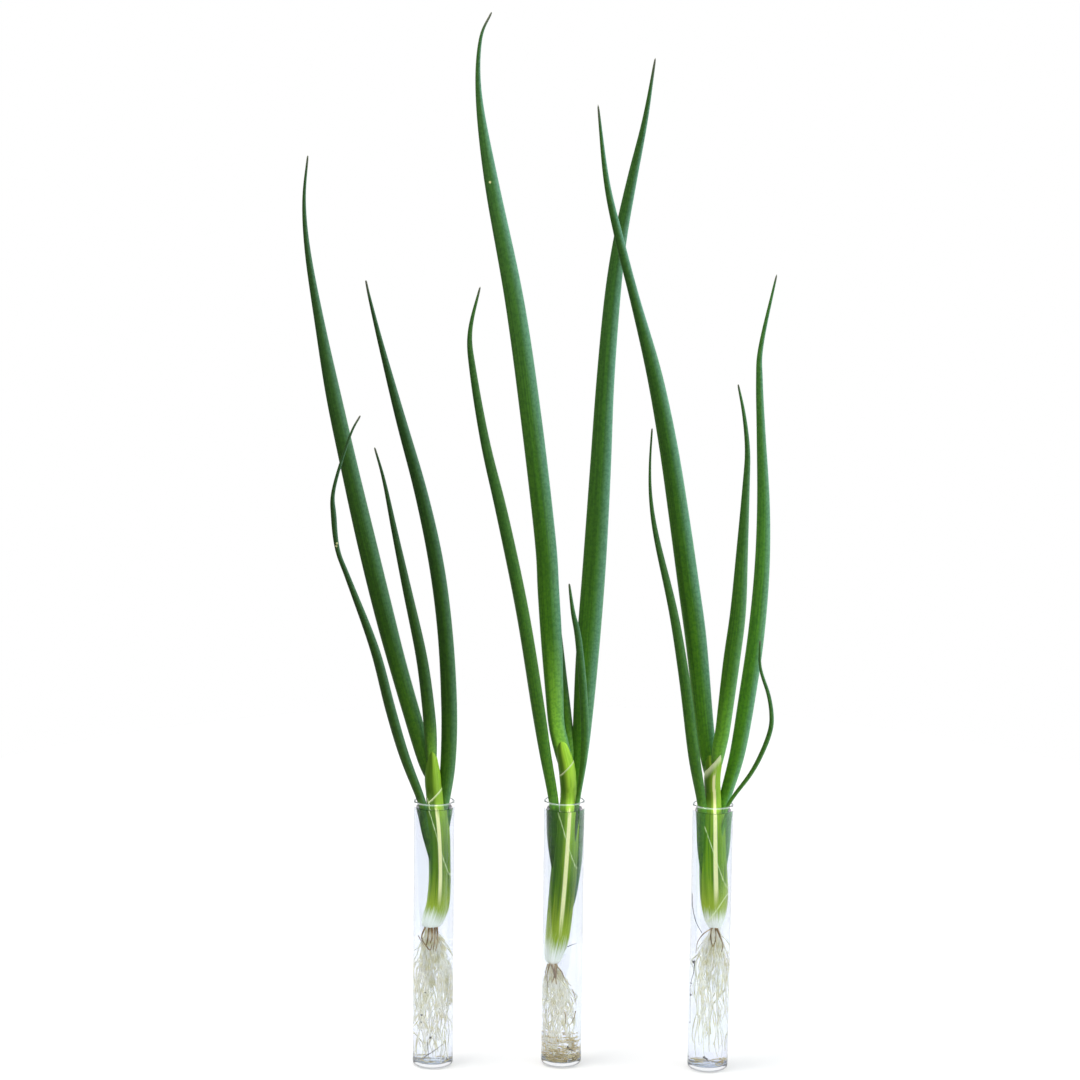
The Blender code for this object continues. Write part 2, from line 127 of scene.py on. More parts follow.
LEAVES = {
    "left_leaf_tall": [
        (-1.0, 0.2, 146.5, 7.6),
        (-5.5, 1.0, 158.0, 8.4),
        (-17.5, 4.5, 197.5, 8.8),
        (-25.5, 7.0, 226.5, 9.6),
        (-34.5, 11.0, 261.5, 9.6),
        (-43.0, 15.0, 296.5, 8.6),
        (-51.0, 19.0, 331.0, 7.6),
        (-58.0, 22.0, 366.0, 5.0),
        (-64.0, 24.0, 400.5, 3.0),
        (-65.9, 25.0, 425.5, 1.8),
        (-64.0, 25.0, 447.5, 0.9),
    ],
    "left_leaf_right": [
        (2.6, 0.6, 112.0, 3.4),
        (4.3, 1.0, 132.0, 6.0),
        (6.5, 2.0, 152.0, 7.6),
        (7.0, 1.0, 179.5, 8.0),
        (5.0, -2.0, 217.0, 7.6),
        (0.5, -6.0, 253.0, 7.4),
        (-7.0, -10.0, 288.5, 6.4),
        (-16.5, -14.0, 323.5, 5.0),
        (-25.5, -17.0, 358.0, 2.8),
        (-31.0, -19.0, 380.5, 1.5),
        (-33.0, -20.0, 390.0, 0.9),
    ],
    "left_leaf_curled": [
        (0.6, -1.4, 102.0, 3.2),
        (-2.7, -1.6, 118.0, 4.0),
        (-5.8, -1.4, 133.0, 4.2),
        (-14.6, -3.0, 157.0, 5.0),
        (-21.5, -6.0, 181.5, 5.2),
        (-29.0, -9.0, 211.5, 4.6),
        (-41.5, -12.0, 246.0, 2.8),
        (-46.7, -13.0, 260.5, 2.4),
        (-48.5, -13.0, 276.5, 2.8),
        (-48.5, -13.0, 290.0, 1.8),
        (-41.0, -11.0, 315.0, 1.2),
        (-36.0, -10.0, 325.0, 0.9),
    ],
    "left_leaf_young": [
        (-1.0, -1.4, 143.0, 3.6),
        (-1.8, -2.5, 165.0, 6.2),
        (-3.2, -4.0, 183.0, 6.2),
        (-6.5, -6.5, 208.0, 5.6),
        (-13.5, -10.0, 241.5, 4.4),
        (-19.5, -12.0, 270.0, 3.0),
        (-24.5, -14.0, 294.5, 1.7),
        (-29.0, -15.0, 310.5, 0.9),
    ],
    "middle_leaf_tall": [
        (0.9, 0.0, 150.5, 7.4),
        (-1.6, 0.2, 160.0, 8.2),
        (-4.4, 0.6, 172.0, 8.2),
        (-5.8, 1.6, 190.0, 9.2),
        (-7.4, 3.2, 214.0, 10.6),
        (-9.2, 5.4, 238.0, 10.8),
        (-11.0, 8.0, 262.5, 10.6),
        (-18.5, 15.0, 320.5, 10.5),
        (-27.5, 23.0, 378.5, 9.5),
        (-39.5, 30.0, 436.0, 7.0),
        (-46.0, 34.0, 477.0, 3.2),
        (-45.5, 35.0, 503.5, 1.7),
        (-40.0, 35.0, 517.0, 0.9),
    ],
    "middle_leaf_right": [
        (2.4, 1.0, 80.0, 2.6),
        (3.2, 1.3, 88.0, 3.6),
        (4.1, 1.6, 104.0, 5.0),
        (4.35, 2.2, 120.0, 5.4),
        (4.9, 2.6, 134.0, 6.0),
        (7.6, 4.4, 160.0, 8.6),
        (10.2, 7.0, 203.5, 11.4),
        (13.2, 10.0, 250.5, 11.6),
        (15.5, 13.0, 297.5, 10.5),
        (17.2, 15.0, 338.5, 9.0),
        (20.0, 16.0, 379.5, 8.0),
        (23.3, 15.0, 408.5, 6.6),
        (28.5, 12.0, 437.5, 5.0),
        (34.2, 9.0, 466.0, 2.8),
        (38.5, 6.0, 495.5, 0.9),
    ],
    "middle_leaf_left": [
        (-2.2, -0.6, 96.0, 3.6),
        (-4.4, -0.8, 116.0, 4.8),
        (-5.2, -0.8, 133.0, 5.0),
        (-9.6, -1.5, 157.0, 5.8),
        (-13.6, -4.0, 181.5, 6.6),
        (-21.6, -11.0, 230.0, 6.4),
        (-31.7, -18.0, 278.0, 5.8),
        (-40.0, -23.0, 313.0, 4.6),
        (-46.1, -27.0, 347.5, 3.4),
        (-47.7, -28.0, 366.5, 2.2),
        (-43.0, -28.0, 388.0, 0.9),
    ],
    "middle_leaf_front": [
        (3.2, -2.2, 110.0, 1.8),
        (6.3, -2.8, 134.0, 2.2),
        (9.4, -4.5, 160.5, 3.6),
        (8.8, -6.5, 184.5, 4.0),
        (5.7, -9.0, 216.0, 3.4),
        (2.8, -10.0, 230.0, 2.2),
        (0.7, -11.0, 244.5, 1.0),
    ],
    "middle_leaf_young": [
        (1.6, 1.2, 145.0, 3.2),
        (2.2, 3.4, 158.5, 4.6),
        (1.2, 6.4, 172.0, 4.6),
        (-1.2, 9.4, 192.0, 4.0),
        (-3.4, 12.0, 214.0, 2.6),
        (-5.9, 14.0, 235.0, 1.0),
    ],
    "right_leaf_tall": [
        (-0.7, 0.2, 148.5, 7.6),
        (-3.2, 1.2, 161.0, 8.8),
        (-5.6, 1.0, 178.5, 9.4),
        (-10.2, -2.0, 216.5, 10.6),
        (-14.3, -5.0, 242.5, 10.6),
        (-20.0, -9.0, 278.0, 10.0),
        (-26.2, -14.0, 313.5, 9.0),
        (-33.7, -19.0, 348.0, 7.4),
        (-43.4, -24.0, 382.5, 4.8),
        (-51.5, -28.0, 411.5, 4.2),
        (-57.8, -30.0, 438.0, 2.8),
        (-62.3, -31.0, 473.0, 0.9),
    ],
    "right_leaf_right": [
        (2.4, 0.8, 94.0, 4.0),
        (4.0, 1.0, 112.0, 4.8),
        (5.1, 1.0, 133.0, 5.6),
        (11.4, 3.0, 158.0, 7.6),
        (15.9, 6.0, 186.5, 8.4),
        (19.8, 9.0, 216.5, 8.3),
        (22.2, 12.0, 249.0, 7.6),
        (22.4, 15.0, 281.0, 6.4),
        (20.5, 17.0, 316.5, 4.4),
        (19.2, 18.0, 341.5, 3.4),
        (19.6, 18.0, 358.5, 2.4),
        (26.3, 16.0, 393.5, 0.9),
    ],
    "right_leaf_middle": [
        (0.6, -0.8, 148.0, 3.4),
        (1.3, -2.6, 156.0, 5.8),
        (2.2, -4.0, 164.0, 7.2),
        (3.5, -4.9, 172.0, 7.3),
        (4.7, -5.7, 184.0, 7.7),
        (7.0, -7.0, 207.5, 8.3),
        (9.5, -8.0, 231.5, 7.8),
        (10.7, -9.0, 261.0, 5.8),
        (11.8, -10.0, 293.0, 3.6),
        (12.0, -11.0, 310.5, 2.6),
        (9.9, -12.0, 327.5, 1.8),
        (6.6, -13.0, 342.5, 0.9),
    ],
    "right_leaf_left": [
        (-1.6, -1.2, 94.0, 3.6),
        (-4.0, -1.6, 112.0, 4.2),
        (-5.4, -2.0, 133.0, 4.6),
        (-10.1, -4.0, 159.0, 5.8),
        (-15.3, -6.0, 195.5, 5.4),
        (-21.7, -8.0, 231.0, 4.4),
        (-30.4, -10.0, 266.5, 2.8),
        (-33.7, -11.0, 286.0, 1.8),
        (-34.5, -12.0, 303.0, 1.2),
        (-33.8, -12.0, 321.0, 0.9),
    ],
    "right_leaf_curled": [
        (2.2, -2.4, 114.0, 1.4),
        (6.6, -3.4, 133.5, 1.8),
        (17.3, -6.0, 150.5, 2.2),
        (22.7, -8.0, 162.0, 2.4),
        (26.3, -9.0, 173.0, 2.4),
        (26.85, -9.0, 181.0, 2.2),
        (25.2, -8.0, 191.0, 1.9),
        (21.0, -6.8, 204.0, 1.5),
        (20.6, -6.5, 217.5, 0.9),
    ],
}

# How light each leaf is, and how much bluish wax bloom with painted sheen its right side has
LEAF_TONES = {
    "left_leaf_tall": (0.58, 0.45),
    "left_leaf_right": (0.58, 0.40),
    "left_leaf_curled": (0.56, 0.35),
    "left_leaf_young": (0.56, 0.20),
    "middle_leaf_tall": (0.94, 0.85),
    "middle_leaf_right": (1.02, 0.95),
    "middle_leaf_left": (1.10, 0.00),
    "middle_leaf_front": (1.05, 0.40),
    "middle_leaf_young": (0.80, 0.20),
    "right_leaf_tall": (1.12, 0.95),
    "right_leaf_right": (1.45, 0.85),
    "right_leaf_middle": (1.20, 0.45),
    "right_leaf_left": (1.05, 0.15),
    "right_leaf_curled": (1.15, 0.40),
}

# How light the leaves are where they stand in the water
WET_TONES = {"left": 0.44, "middle": 0.38, "right": 0.82}

# Pale specks on the leaves: (x, y, z, radius), in millimetres like the routes
LEAF_MARKS = {
    "middle_leaf_tall": [(-40.0, 28.0, 435.2, 0.8)],
    "left_leaf_curled": [(-46.9, -13.7, 263.6, 0.7), (-47.2, -13.6, 262.2, 0.7)],
}

# A leaf is a flattened tube: its depth is this share of its width
LEAF_DEPTH = 0.56

# How many rings are made for each row of a route
RING_STEPS = 5

# A sheath is a skin round a stem from one height to another, cut off along a slanted line
# seen from the front: (side, low, high, line's start (x, z), line's end (x, z), pale edge).
# What lies to the left of the line, seen from its start, is cut away.
SHEATHS = {
    "middle_outer_sheath": ("middle", 60.0, 140.0, (-3.5, 133.0), (5.0, 101.0), 0.5),
    "middle_collar_sheath": ("middle", 137.0, 158.0, (-1.4, 148.6), (4.4, 154.6), 1.1),
    "middle_second_sheath": ("middle", 134.0, 152.0, (0.6, 141.0), (5.0, 151.4), 0.8),
    "left_outer_sheath": ("left", 76.0, 138.0, (-3.0, 135.0), (6.0, 99.2), 0.5),
    "left_hood": ("left", 116.0, 146.0, (-3.0, 134.0), (4.8, 142.0), 1.2),
    "right_outer_sheath": ("right", 78.0, 140.0, (-4.0, 126.0), (5.8, 94.0), 0.5),
    "right_low_sheath": ("right", 73.0, 100.0, (0.8, 80.0), (6.0, 89.0), 0.7),
    "right_membrane": ("right", 139.0, 163.0, (-4.0, 151.6), (3.4, 160.8), 3.4),
}

# The routes of the sheaths that don't follow their stem
SHEATH_ROUTES = {
    "middle_collar_sheath": COLLARS["middle"],
    "right_membrane": [
        (-0.4, 0.0, 138.0, 7.6),
        (-0.7, -0.3, 148.0, 8.1),
        (0.2, -1.2, 155.0, 7.4),
        (1.4, -1.9, 160.0, 6.8),
        (1.8, -2.2, 164.0, 6.8),
    ],
}

# How much wider than its stem a sheath is, and how thick its skin is
SHEATH_SKIN = 0.22

# How light each stem is, and how dark the painted shade on its left side
STEM_TONES = {"left": (1.15, 0.9), "middle": (1.05, 0.9), "right": (1.65, 0.35)}

# From and to which height each stem turns to the bright green of its collar, how strong the
# collar's painted light is below and above, where the cream stripe of painted light ends, and from
# and to where across its width the painted shade on the left side gives way
COLLAR_LIGHTS = {
    "left": (94.0, 140.0, (0.70, 0.90), 131.0, (-0.15, 0.35)),
    "middle": (84.0, 134.0, (0.92, 1.22), 130.0, (-0.50, 0.15)),
    "right": (112.0, 140.0, (0.80, 0.80), 151.0, (-0.55, 0.10)),
}

# Up to which height a leaf's foot is at its brightest, where that has faded, and how bright it is: a fresh
# yellow-green with painted light on its middle
LIT_FRESH_FEET = {
    "middle_leaf_tall": (158.0, 218.0, 0.88),
    "middle_leaf_young": (152.0, 190.0, 0.55),
    "left_leaf_young": (152.0, 176.0, 0.45),
    "right_leaf_middle": (156.0, 200.0, 0.20),
}

# Brown dead roots that show at the front: each one's width, and its points
DEAD_ROOTS = {
    "left": [
        (0.9, [
            (-3.2, -1.6, 71.0),
            (-5.2, -5.0, 66.0),
            (-2.7, -6.2, 62.1),
            (-0.9, -6.4, 60.6),
            (0.0, -6.0, 63.6),
        ]),
        (1.0, [(-1.8, -2.2, 71.4), (-2.2, -5.5, 66.2), (-3.1, -6.2, 62.6)]),
        (1.2, [(-0.6, -2.4, 71.4), (-0.6, -5.5, 66.5), (-1.0, -6.0, 64.0)]),
        (0.8, [(0.4, -2.2, 71.3), (0.6, -5.5, 65.2), (0.2, -6.2, 60.6)]),
        (0.8, [(1.4, -1.8, 71.2), (1.9, -5.5, 64.7), (1.4, -6.2, 60.0)]),
        (0.6, [(-6.6, -4.4, 67.1), (-5.6, -5.6, 64.6), (-3.6, -6.2, 62.1)]),
    ],
    "middle": [
        (1.1, [(-4.0, -2.0, 51.6), (-3.7, -5.2, 46.4), (-4.4, -5.8, 43.3)]),
        (1.2, [(-2.7, -2.0, 51.6), (-2.5, -5.2, 46.5), (-2.3, -5.8, 42.5)]),
        (0.7, [(-5.2, -1.4, 51.4), (-6.6, -4.4, 46.4), (-6.4, -4.8, 40.0)]),
        (0.6, [(-5.6, -0.8, 51.2), (-7.4, -3.2, 47.5), (-7.2, -3.6, 44.8)]),
        (0.6, [(-2.0, -1.6, 51.2), (-0.4, -4.5, 48.0), (1.6, -5.2, 45.0), (4.3, -5.2, 41.5)]),
        (0.5, [(5.0, -5.4, 40.0), (6.2, -5.0, 35.0), (6.6, -4.8, 31.0)]),
        (0.6, [(6.2, -5.2, 28.0), (5.4, -5.6, 24.4), (4.0, -5.8, 22.0)]),
        (0.7, [(1.5, -5.8, 28.5), (1.4, -5.8, 25.0), (2.1, -5.8, 22.3)]),
    ],
    "right": [
        (1.1, [(2.6, -1.8, 72.4), (4.4, -4.8, 68.5), (5.5, -5.6, 64.9), (5.2, -5.8, 61.3)]),
        (0.7, [(0.6, -1.8, 72.6), (0.0, -5.2, 67.9), (0.5, -6.0, 63.5)]),
        (0.6, [(1.6, -2.1, 72.4), (1.9, -5.5, 67.4), (1.2, -6.0, 64.0)]),
        (0.6, [(0.9, -2.0, 72.4), (-2.6, -4.4, 70.5), (-5.4, -4.4, 66.0), (-6.0, -3.6, 60.0)]),
    ],
}

# Dark threads and specks: each one's width as seen through the glass, and its points
DARK_BITS = {
    "left": [
        (0.7, [(-3.5, -6.8, 38.6), (-3.3, -6.8, 38.2)]),
        (0.9, [(-5.0, -6.2, 27.2), (-4.8, -6.2, 26.8)]),
        (0.7, [(-5.0, -6.2, 23.6), (-4.9, -6.2, 23.2)]),
        (0.9, [(-1.2, -7.2, 15.9), (-0.5, -7.2, 15.7)]),
        (0.25, [(-3.6, -6.2, 5.4), (1.4, -6.6, 9.3), (5.2, -5.8, 12.4)]),
        (0.2, [(-2.4, -6.4, 14.0), (-2.0, -6.4, 9.0), (-1.6, -6.6, 5.0)]),
    ],
    "middle": [
        (0.22, [(2.4, -6.4, 62.0), (4.2, -6.2, 62.6), (6.4, -4.6, 63.0)]),
        (0.5, [(-7.6, -0.6, 15.8), (-7.6, -0.4, 15.3)]),
        (0.4, [(3.1, -6.0, 10.8), (4.4, -6.2, 9.2), (5.4, -5.8, 7.8)]),
    ],
    "right": [
        (0.3, [(-7.3, 0.5, 89.0), (-7.6, 0.0, 81.5), (-6.2, -3.0, 75.9), (-4.2, -5.0, 70.4)]),
        (0.8, [(-6.3, -1.0, 55.2), (-6.5, -1.0, 53.8)]),
        (0.2, [
            (-6.4, -1.0, 55.0),
            (-6.2, -1.0, 49.0),
            (-7.4, 0.0, 43.2),
            (-7.5, 0.0, 33.5),
            (-7.2, 0.0, 23.2),
        ]),
        (0.6, [(-7.2, -0.2, 43.4), (-7.3, -0.2, 42.9)]),
        (0.7, [(-7.5, -0.2, 37.3), (-7.5, -0.2, 36.8)]),
        (0.5, [(-7.3, -0.2, 23.4), (-7.2, -0.2, 23.0)]),
        (0.6, [(-2.0, -6.0, 7.6), (-1.2, -6.2, 6.6), (-0.6, -6.2, 6.0)]),
        (0.3, [(-0.8, -6.2, 6.2), (0.5, -6.2, 5.2)]),
    ],
}

# Dark bits are made wider than they look by this factor, because the water thins them out
DARK_BIT_FACTOR = 1.9

# The roots stay within this distance of the tube's middle, in metres
BORE = 8.2 * MM

# How many short strands lie at the bottom of each tube, and up to which height
SUNK_STRANDS = {"left": (14, 4.6), "middle": (230, 15.0), "right": (20, 5.0)}
SUNK_WIDTH = 0.55

# Living roots of each plant: how many, how far out, where they hang, how wavy, how deep
ROOT_HABITS = {
    "left": (78, 8.2, 0.0, 1.2, 1.0),
    "middle": (58, 6.6, -1.6, 1.3, 1.0),
    "right": (40, 7.0, 0.9, 0.8, 0.95),
}

# The cream stripe of painted light runs a little to the right of the middle, where the light falls, in
# shares of half a width
LIGHT_STRIPE_MIDDLE = 0.15

# From and to which height in metres a leaf leaves the water, its wax bloom and painted sheen grow, and a
# collar's painted light rises
WATER_EDGE = (0.128, 0.136)
BLOOM_AND_SHEEN_EDGE = (0.126, 0.138)
COLLAR_RISE = (0.138, 0.152)

# Of each noise pattern: from and to which value it shows, and how strongly
LEAF_LINE_BAND = (0.40, 0.62, 1.0)
LEAF_BLOTCH_BAND = (0.45, 0.70, 0.5)
LEAF_SPECKLE_BAND = (0.44, 0.60, 0.7)
STEM_VEIN_BAND = (0.42, 0.60, 1.0)
STEM_LINE_BAND = (0.45, 0.65, 0.5)
COLLAR_VEIN_BAND = (0.45, 0.62, 0.6)
ROOT_PATCH_BAND = (0.42, 0.66, 1.0)

# How fine each lengthwise pattern is across and along
LEAF_LINE_SCALE = (9.0, 5.0)
LEAF_BLOTCH_SCALE = (1.6, 14.0)
STEM_VEIN_SCALE = (4.5, 1.2)
STEM_LINE_SCALE = (14.0, 2.0)

# Of each root material: its seed, how clear it is, and how much it glows with painted light
ROOT_FINISHES = {
    "living_root": (1.0, 0.45, 0.08),
    "dead_root": (2.0, 0.1, 0.05),
    "dark_bits": (3.0, 0.0, 0.0),
    "sediment": (4.0, 0.1, 0.05),
}

# Steps between the seeds of like materials, so that no two have the same pattern
LEAF_SEED_STEP = 2.3
STEM_SEED_STEP = 4.1
SHEATH_SEED_STEP = 3.3
FIRST_SHEATH_SEED = 20.0
FIRST_ROOT_SEED = 17

# Colours that others are multiplied with, or that are mixed into them
# Painted shade on a leaf's left side and painted light on its right side, where the light falls
LEAF_PAINTED_SHADE = (0.72, 0.72, 0.66, 1.0)
LEAF_PAINTED_LIGHT = (1.22, 1.22, 1.26, 1.0)
LEAF_LINES = (0.66, 0.70, 0.66, 1.0)
LEAF_BLOTCHES = (0.76, 0.84, 0.78, 1.0)
LEAF_SPECKLES = (0.60, 0.72, 0.66, 1.0)
WAX_BLUE_AND_SHEEN = (0.17, 0.42, 0.27, 1.0)
FRESH_LIT_FOOT = (0.42, 0.88, 0.07, 1.0)
STEM_VEINS = (0.42, 0.58, 0.22, 1.0)
STEM_LINES = (0.80, 0.86, 0.70, 1.0)
STEM_PAINTED_SHADE = (0.36, 0.62, 0.9, 1.0)
COLLAR_PAINTED_SHADE = (0.24, 0.31, 0.30, 1.0)
COLLAR_VEINS = (0.60, 0.74, 0.45, 1.0)
GLASS_FOOT_SHADE = (0.55, 0.57, 0.60, 1.0)
GLASS_RIM_GLOW = (0.80, 0.90, 0.88, 1.0)
DEAD_ROOT_LIGHT = (0.58, 0.46, 0.28)
DARK_BIT_LIGHT = (0.012, 0.010, 0.007)
SEDIMENT_LIGHT = (0.74, 0.64, 0.34)
BLACK = (0.0, 0.0, 0.0, 1.0)
WHITE = (1.0, 1.0, 1.0, 1.0)

# Colours of the floor and of the room that lights and mirrors in the glass
FLOOR_DARKER = (0.46, 0.445, 0.43, 1.0)
FLOOR_LIGHTER = (0.48, 0.465, 0.45, 1.0)
FLOOR_IN_GLASS = (0.28, 0.26, 0.255, 1.0)
DIM_ROOM = (0.07, 0.075, 0.08, 1.0)
BRIGHT_ROOM = (0.90, 0.93, 0.97, 1.0)
SOFTBOX_LIGHT = (2.0, 2.25, 2.4, 1.0)
SOFTBOX_SHINE = (1.1, 1.2, 1.3, 1.0)
GLASS_BACK = (0.97, 0.98, 1.0, 1.0)
GLASS_FRONT = (0.05, 0.05, 0.05, 1.0)
TUBE_LIGHT = (2.6, 2.6, 2.6, 1.0)
TUBE_SOFTBOX = (4.0, 4.2, 4.4, 1.0)
TUBE_DEEP_LIGHT = (7.0, 7.0, 7.0, 1.0)

# Sides of a tube and its water, of the floor and of a root plate
TUBE_SIDES = 96
FLOOR_SIDES = 96
PLATE_SIDES = 20

# How many stretches a living root has, and how many points smooth each stretch of a strand
ROOT_STEPS = 10
STRAND_STEPS = 4

# From the glass inwards: how wide each ring of the meniscus is, and its share of the drop
MENISCUS_STEPS = ((0.35, 0.5), (0.5, 0.27), (0.7, 0.15), (1.0, 0.08))


class OnionTubeLooks(bpy.types.PropertyGroup):
    """Glass tubes and the water in them."""

    wall: bpy.props.FloatProperty(
        name="Wall", description="Thickness of the glass wall", unit="LENGTH", default=1.0 * MM
    )
    floor: bpy.props.FloatProperty(
        name="Floor", description="Thickness of the tube's flat bottom", unit="LENGTH", default=2.0 * MM
    )
    foot_rounding: bpy.props.FloatProperty(
        name="Foot rounding", description="Radius of the outer bottom corner", unit="LENGTH",
        default=1.6 * MM,
    )
    meniscus: bpy.props.FloatProperty(
        name="Meniscus", description="Climb of the water at the glass", unit="LENGTH", default=0.5 * MM
    )
    glass_tint: bpy.props.FloatVectorProperty(
        name="Glass tint", description="Colour of the glass", subtype="COLOR",
        default=(0.985, 0.99, 1.0),
    )
    water_tint: bpy.props.FloatVectorProperty(
        name="Water tint", description="Colour of the water", subtype="COLOR",
        default=(0.79, 0.86, 0.945),
    )


class OnionLeafLooks(bpy.types.PropertyGroup):
    """Leaves and stems."""

    leaf_sides: bpy.props.IntProperty(
        name="Leaf sides", description="Sides of a leaf before it is smoothed", default=18, min=8
    )
    stem_sides: bpy.props.IntProperty(
        name="Stem sides", description="Sides of a stem before it is smoothed", default=28, min=8
    )
    foot_green: bpy.props.FloatVectorProperty(
        name="Foot green", description="Fresh green at a leaf's base", subtype="COLOR",
        default=(0.12, 0.34, 0.012),
    )
    leaf_green: bpy.props.FloatVectorProperty(
        name="Leaf green", description="Main green of a leaf", subtype="COLOR",
        default=(0.068, 0.210, 0.006),
    )
    deep_green: bpy.props.FloatVectorProperty(
        name="Deep green", description="Blue-green of the upper leaf", subtype="COLOR",
        default=(0.055, 0.170, 0.022),
    )
    dry_tip: bpy.props.FloatVectorProperty(
        name="Dry tip", description="Greyish colour of a dried tip", subtype="COLOR",
        default=(0.13, 0.13, 0.08),
    )
    collar_green: bpy.props.FloatVectorProperty(
        name="Collar green", description="Bright green of collars and feet", subtype="COLOR",
        default=(0.40, 0.66, 0.045),
    )
    stem_green: bpy.props.FloatVectorProperty(
        name="Stem green", description="Yellow-green of the stem", subtype="COLOR",
        default=(0.125, 0.245, 0.003),
    )
    young_green: bpy.props.FloatVectorProperty(
        name="Young green", description="Pale green over the bulb", subtype="COLOR",
        default=(0.36, 0.48, 0.03),
    )
    # The cream of the stripe of painted light down a stem's front, and of the pale specks on the leaves
    light_stripe_and_speck_cream: bpy.props.FloatVectorProperty(
        name="Stripe cream", description="Cream stripe down the front", subtype="COLOR",
        default=(0.94, 0.90, 0.42),
    )
    rim_pale: bpy.props.FloatVectorProperty(
        name="Rim pale", description="Dry free edge of a sheath", subtype="COLOR",
        default=(0.90, 0.96, 0.55),
    )
    bulb_white: bpy.props.FloatVectorProperty(
        name="Bulb white", description="Cream white of the bulb", subtype="COLOR",
        default=(0.94, 0.95, 0.84),
    )


class OnionRootLooks(bpy.types.PropertyGroup):
    """Roots under the bulbs."""

    thickness: bpy.props.FloatProperty(
        name="Thickness", description="Width of a living root", unit="LENGTH", default=0.62 * MM
    )
    white: bpy.props.FloatVectorProperty(
        name="Root white", description="Colour of living roots", subtype="COLOR",
        default=(0.93, 0.92, 0.85),
    )
    khaki: bpy.props.FloatVectorProperty(
        name="Root khaki", description="Older stretches of living roots", subtype="COLOR",
        default=(0.76, 0.72, 0.48),
    )
    brown: bpy.props.FloatVectorProperty(
        name="Root brown", description="Colour of dead roots", subtype="COLOR",
        default=(0.25, 0.15, 0.06),
    )
    dark: bpy.props.FloatVectorProperty(
        name="Speck dark", description="Colour of dark threads and specks", subtype="COLOR",
        default=(0.004, 0.005, 0.004),
    )
    sediment: bpy.props.FloatVectorProperty(
        name="Sediment", description="Colour of what has sunk down", subtype="COLOR",
        default=(0.50, 0.37, 0.11),
    )


class OnionStageLooks(bpy.types.PropertyGroup):
    """Floor, lights and camera."""

    floor_radius: bpy.props.FloatProperty(
        name="Floor radius", description="Radius of the pale floor", unit="LENGTH", default=0.5
    )
    floor_gap: bpy.props.FloatProperty(
        name="Floor gap", description="Air between the glass and the floor", unit="LENGTH", default=0.3 * MM
    )
    backdrop: bpy.props.FloatProperty(
        name="Backdrop", description="Brightness of the white backdrop", default=1.0, min=0.0
    )
    camera_place: bpy.props.FloatVectorProperty(
        name="Camera place", description="Where the camera stands", subtype="XYZ", unit="LENGTH",
        default=(-0.0136, -1.3135, 0.4626),
    )
    camera_pitch: bpy.props.FloatProperty(
        name="Camera pitch", description="How far the camera looks down", subtype="ANGLE",
        default=math.radians(8.61),
    )
    camera_roll: bpy.props.FloatProperty(
        name="Camera roll", description="Turn of the camera about its view", subtype="ANGLE",
        default=math.radians(0.69),
    )
    camera_lens: bpy.props.FloatProperty(
        name="Camera lens", description="Focal length in millimetres on a 36 mm sensor", default=91.17
    )


def foot_of(side):
    """The middle of a tube's underside, in metres."""
    low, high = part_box(side + "_tube")
    return Vector(((low.x + high.x) / 2, (low.y + high.y) / 2, low.z))


def deselect_all():
    """Leave edit mode, and select nothing."""
    if bpy.context.object and bpy.context.object.mode != "OBJECT":
        bpy.ops.object.mode_set(mode="OBJECT")
    bpy.ops.object.select_all(action="DESELECT")


def named_primitive(name):
    """Name the primitive that was just added, and its mesh."""
    piece = bpy.context.object
    piece.name = name
    piece.data.name = name
    return piece


def choose(piece, kind, test):
    """Select the faces or edges of a piece in edit mode that pass a test."""
    maker = bmesh.from_edit_mesh(piece.data)
    bpy.ops.mesh.select_mode(type="FACE" if kind == "faces" else "EDGE")
    bpy.ops.mesh.select_all(action="DESELECT")
    for part in getattr(maker, kind):
        part.select_set(test(part))
    bmesh.update_edit_mesh(piece.data)


def pick(piece):
    """Select one piece alone, and make it the active one."""
    deselect_all()
    piece.select_set(True)
    bpy.context.view_layer.objects.active = piece


def place_in_mesh(piece):
    """Put a piece's place, turn and size into its mesh."""
    pick(piece)
    bpy.ops.object.transform_apply(location=True, rotation=True, scale=True)


def shade_smooth(piece, angle=180.0):
    """Shade a piece smooth, but for edges sharper than an angle in degrees."""
    pick(piece)
    bpy.ops.object.shade_smooth_by_angle(angle=math.radians(angle))


def hand_over(piece, material, node=None):
    """Give a finished piece its material, and put it in its node's place."""
    piece.data.materials.clear()
    piece.data.materials.append(material)
    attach(piece, "root")
    if node:
        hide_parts(node)


def smooth_route(route, steps, foot):
    """Rows of (x, y, z, width) in metres, on a smooth curve through every row of a route."""
    rows = np.array(route) * MM
    rows[:, :3] += np.array(foot)
    before = np.vstack([2 * rows[0] - rows[1], rows[:-1]])
    after = np.vstack([rows[1:], 2 * rows[-1] - rows[-2]])
    slopes = (after - before) / 2
    curve = []
    for start, end, leave, arrive in zip(rows, rows[1:], slopes, slopes[1:]):
        for t in np.arange(steps) / steps:
            curve.append(
                (2 * t**3 - 3 * t**2 + 1) * start
                + (t**3 - 2 * t**2 + t) * leave
                + (3 * t**2 - 2 * t**3) * end
                + (t**3 - t**2) * arrive
            )
    return np.array(curve + [rows[-1]])


def lean_of(tangent):
    """How far a ring with this normal leans to the right, and to the back, in radians."""
    return math.atan2(tangent.x, tangent.z), math.asin(tangent.y)


